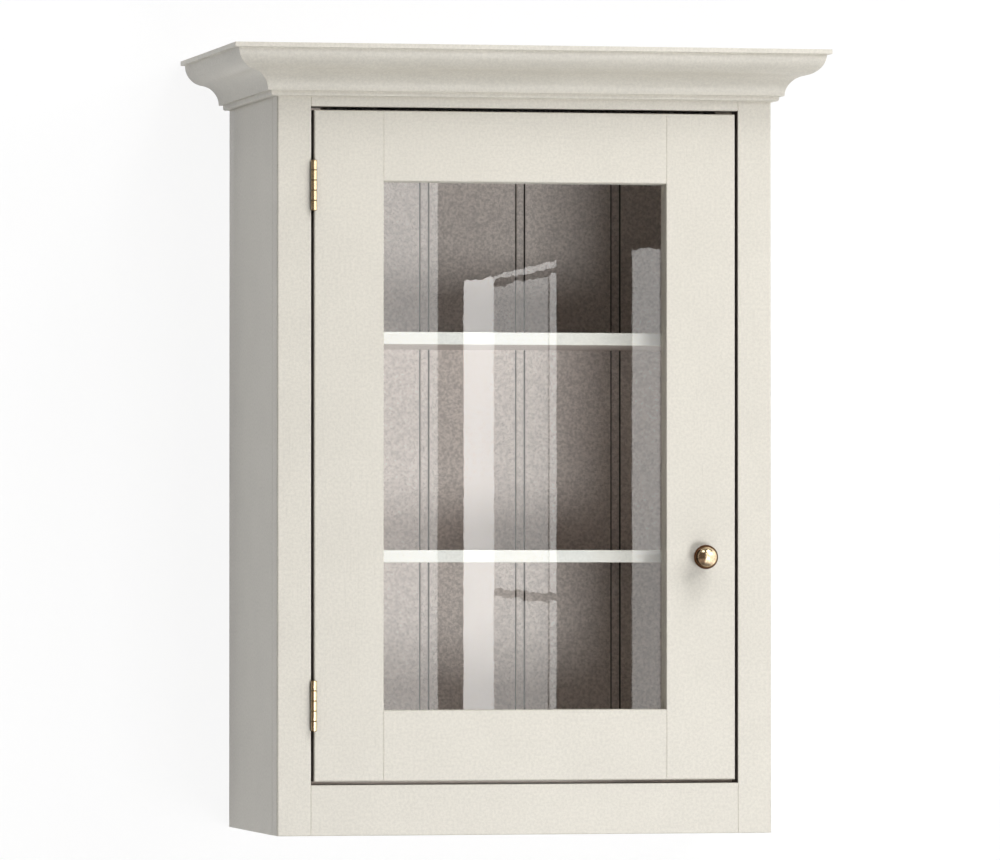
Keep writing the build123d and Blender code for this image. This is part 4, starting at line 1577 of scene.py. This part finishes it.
@dataclass
class Studio:
    """A pale wall that curves into the floor, soft lamps, bright cards and the camera."""

    seed = 7
    sensor_width = 36
    wall_gap: float = 1 * MM
    wall_half_width: float = 14.0
    wall_height: float = 8.0
    floor_height: float = -1.35
    floor_depth: float = 40.0
    cove_radius: float = 0.4
    touching: float = 30 * MM
    wall_greys: tuple[float, float] = (0.85, 0.87)
    shown_grey: float = 0.13
    shown_glow: float = 0.905
    dim: float = 0.02
    left_low: float = 0.30
    left_high: float = 0.11
    left_fade: tuple[float, float] = (-0.35, -0.15)
    right_level: float = 1.5
    side_fade: tuple[float, float] = (-0.26, -0.14)
    steep_level: float = 0.12
    steep_fade: tuple[float, float] = (0.55, 0.80)
    left_tone: Colour = (1.0, 0.78, 0.68)
    pane_mirrors: tuple[float, float] = (0.13, 0.30)
    pane_steep: float = 0.25
    card_distance: float = 3.0
    camera_place: Point = (-1.95285, -9.56302, 0.33722)
    camera_turn: float = 0.2052
    camera_rise: float = 0.8678
    lens: float = 286.09
    clip_end: float = 100

    def build(self) -> None:
        """Sets the stage, the lamps, the world and the camera."""
        self.backdrop()
        self.world()
        door, pane = Box.of("door_stile_hinge"), Box.of("glass_pane")
        for lamp in LAMPS:
            lamp.build(Vector((0, door.front, pane.centre.z)))
        dice = Random(self.seed)
        for card in CARDS:
            card.build(pane.front - self.card_distance, dice)
        self.camera()
        bpy.context.scene.view_settings.view_transform = "Standard"

    def backdrop(self) -> None:
        """A sheet that is seen only from its front."""
        back = self.wall_gap
        bend = (back - self.cove_radius, self.floor_height + self.cove_radius)
        line = [(back, self.wall_height), *arc(bend, self.cove_radius, 0, -90, steps=16),
                (-self.floor_depth, self.floor_height)]
        points = [Axis.X.place(corner, -self.wall_half_width) for corner in line]
        sheet = Piece.ring("backdrop", points, "NOTHING")
        mesh = sheet.thing.data
        closing = dist(line[0], line[-1])
        sheet.pick(lambda edge: abs(edge.calc_length() - closing) < MM)
        bpy.ops.mesh.delete(type="EDGE")
        bpy.ops.mesh.select_all(action="SELECT")
        run = Vector((2 * self.wall_half_width, 0, 0))
        bpy.ops.mesh.extrude_region_move(TRANSFORM_OT_translate={"value": run})
        bpy.ops.mesh.select_all(action="SELECT")
        if bmesh.from_edit_mesh(mesh).faces[:][0].normal.y > 0:
            bpy.ops.mesh.flip_normals()
        bpy.ops.object.mode_set(mode="OBJECT")
        bpy.ops.object.shade_smooth()
        mesh.materials.append(self.wall_material())

    def wall_material(self) -> bpy.types.Material:
        """White paper that keeps shadows, and is clear from behind and to light on what touches it.

        Returns:
            The material.
        """
        graph, material = Graph.of_material("studio_paper")
        seen = path_of(graph, "Is Camera Ray", "Is Glossy Ray", "Is Transmission Ray") * plain_view(graph)
        tooth = graph.noise(graph.coordinates(), scale=3, detail=3)
        grey = graph.blend(tooth, shaded(WHITE, self.wall_greys[0]), shaded(WHITE, self.wall_greys[1]))
        plain = graph.node("ShaderNodeBsdfDiffuse", inputs={"Color": grey})
        soft = graph.node("ShaderNodeBsdfDiffuse", inputs={"Color": (*shaded(WHITE, self.shown_grey), 1)})
        place = graph.wire(graph.node("ShaderNodeNewGeometry"), "Position")
        direction = graph.wire(graph.node("ShaderNodeVectorMath", {"operation": "NORMALIZE"}, {0: place}))
        level, tone = self.room(graph, direction)
        mirrored = path_of(graph, "Is Glossy Ray")
        glow = graph.node("ShaderNodeEmission", inputs={
            "Color": graph.blend(clear_mirror(graph), WHITE, tone),
            "Strength": self.shown_glow * (1 + mirrored * (level - 1))})
        paper = graph.node("ShaderNodeAddShader", inputs={0: graph.wire(soft), 1: graph.wire(glow)})
        front = graph.mix(seen, plain, paper)
        clear = graph.node("ShaderNodeBsdfTransparent")
        behind = graph.wire(graph.node("ShaderNodeNewGeometry"), "Backfacing")
        path = graph.node("ShaderNodeLightPath")
        touching = graph.wire(path, "Is Shadow Ray") * (graph.wire(path, "Ray Length") < self.touching)
        graph.surface(graph.mix(graph.maths("MAXIMUM", behind, touching), front, clear))
        return material

    def world(self) -> None:
        """White to the camera, and the room in front to glass and metal."""
        world = bpy.data.worlds.new("surround")
        world.use_nodes = True
        bpy.context.scene.world = world
        graph = Graph(world.node_tree, "ShaderNodeOutputWorld")
        direction = graph.wire(graph.node("ShaderNodeTexCoord"), "Generated")
        level, tone = self.room(graph, direction)
        shine = path_of(graph, "Is Glossy Ray") * plain_view(graph) * level
        bounced = path_of(graph, "Diffuse Depth", "Glossy Depth")
        through = path_of(graph, "Is Transmission Ray") * (1 - bounced)
        seen = graph.maths("MAXIMUM", path_of(graph, "Is Camera Ray"), through)
        strength = graph.maths("MAXIMUM", seen, shine)
        graph.surface(graph.node("ShaderNodeBackground", inputs={
            "Color": graph.blend(clear_mirror(graph), WHITE, tone), "Strength": strength}))

    def room(self, graph: Graph, direction: Wire) -> tuple[Wire, Wire]:
        """How bright the room in front is towards a direction, and its colour, as metal and glass show it.

        Args:
            graph: the material's or the world's nodes.
            direction: the direction, one long.

        Returns:
            The brightness, dim where the pane looks, dark at the left and bright at the right; and the
            colour, brown at the left.
        """
        split = graph.node("ShaderNodeSeparateXYZ", inputs={0: direction})
        across, away, up = (graph.wire(split, axis) for axis in ("X", "Y", "Z"))
        steep = graph.maths("ABSOLUTE", up)
        left = graph.spread(up, *self.left_fade, to_low=self.left_low, to_high=self.left_high)
        side = graph.spread(across, *self.side_fade)
        level = left + (self.right_level - left) * side
        level = level * graph.spread(steep, *self.steep_fade, to_low=1, to_high=self.steep_level)
        pane_left, pane_right = self.pane_mirrors
        pane = (across > pane_left) * (across < pane_right) * (steep < self.pane_steep)
        front = level + (self.dim - level) * pane
        wall = away > 0
        pale = graph.maths("MAXIMUM", side, wall)
        return graph.maths("MAXIMUM", front, wall), graph.blend(pale, self.left_tone, WHITE)

    def camera(self) -> None:
        """A long lens, a little left of the cabinet and almost level with its lower shelf."""
        lens = bpy.data.cameras.new("camera")
        lens.sensor_width, lens.lens, lens.clip_end = self.sensor_width, self.lens, self.clip_end
        camera = bpy.data.objects.new("camera", lens)
        camera.location = self.camera_place
        camera.rotation_euler = (pi / 2 + radians(self.camera_rise), 0, -self.camera_turn)
        bpy.context.scene.collection.objects.link(camera)
        bpy.context.scene.camera = camera


def main() -> None:
    """Builds the cabinet's looks and the studio round it."""
    logging.basicConfig(level=logging.INFO, format="%(name)s: %(message)s")
    for assembly in (Carcass(), BackBoards(), FaceFrame(), Cornice(), Shelves(), GlazedDoor(),
                     ButtHinge("lower"), ButtHinge("upper"), BallKnob(), Fittings()):
        log.info("building %s", type(assembly).__name__)
        assembly.build()
    Studio().build()


if __name__ == "__main__":
    main()
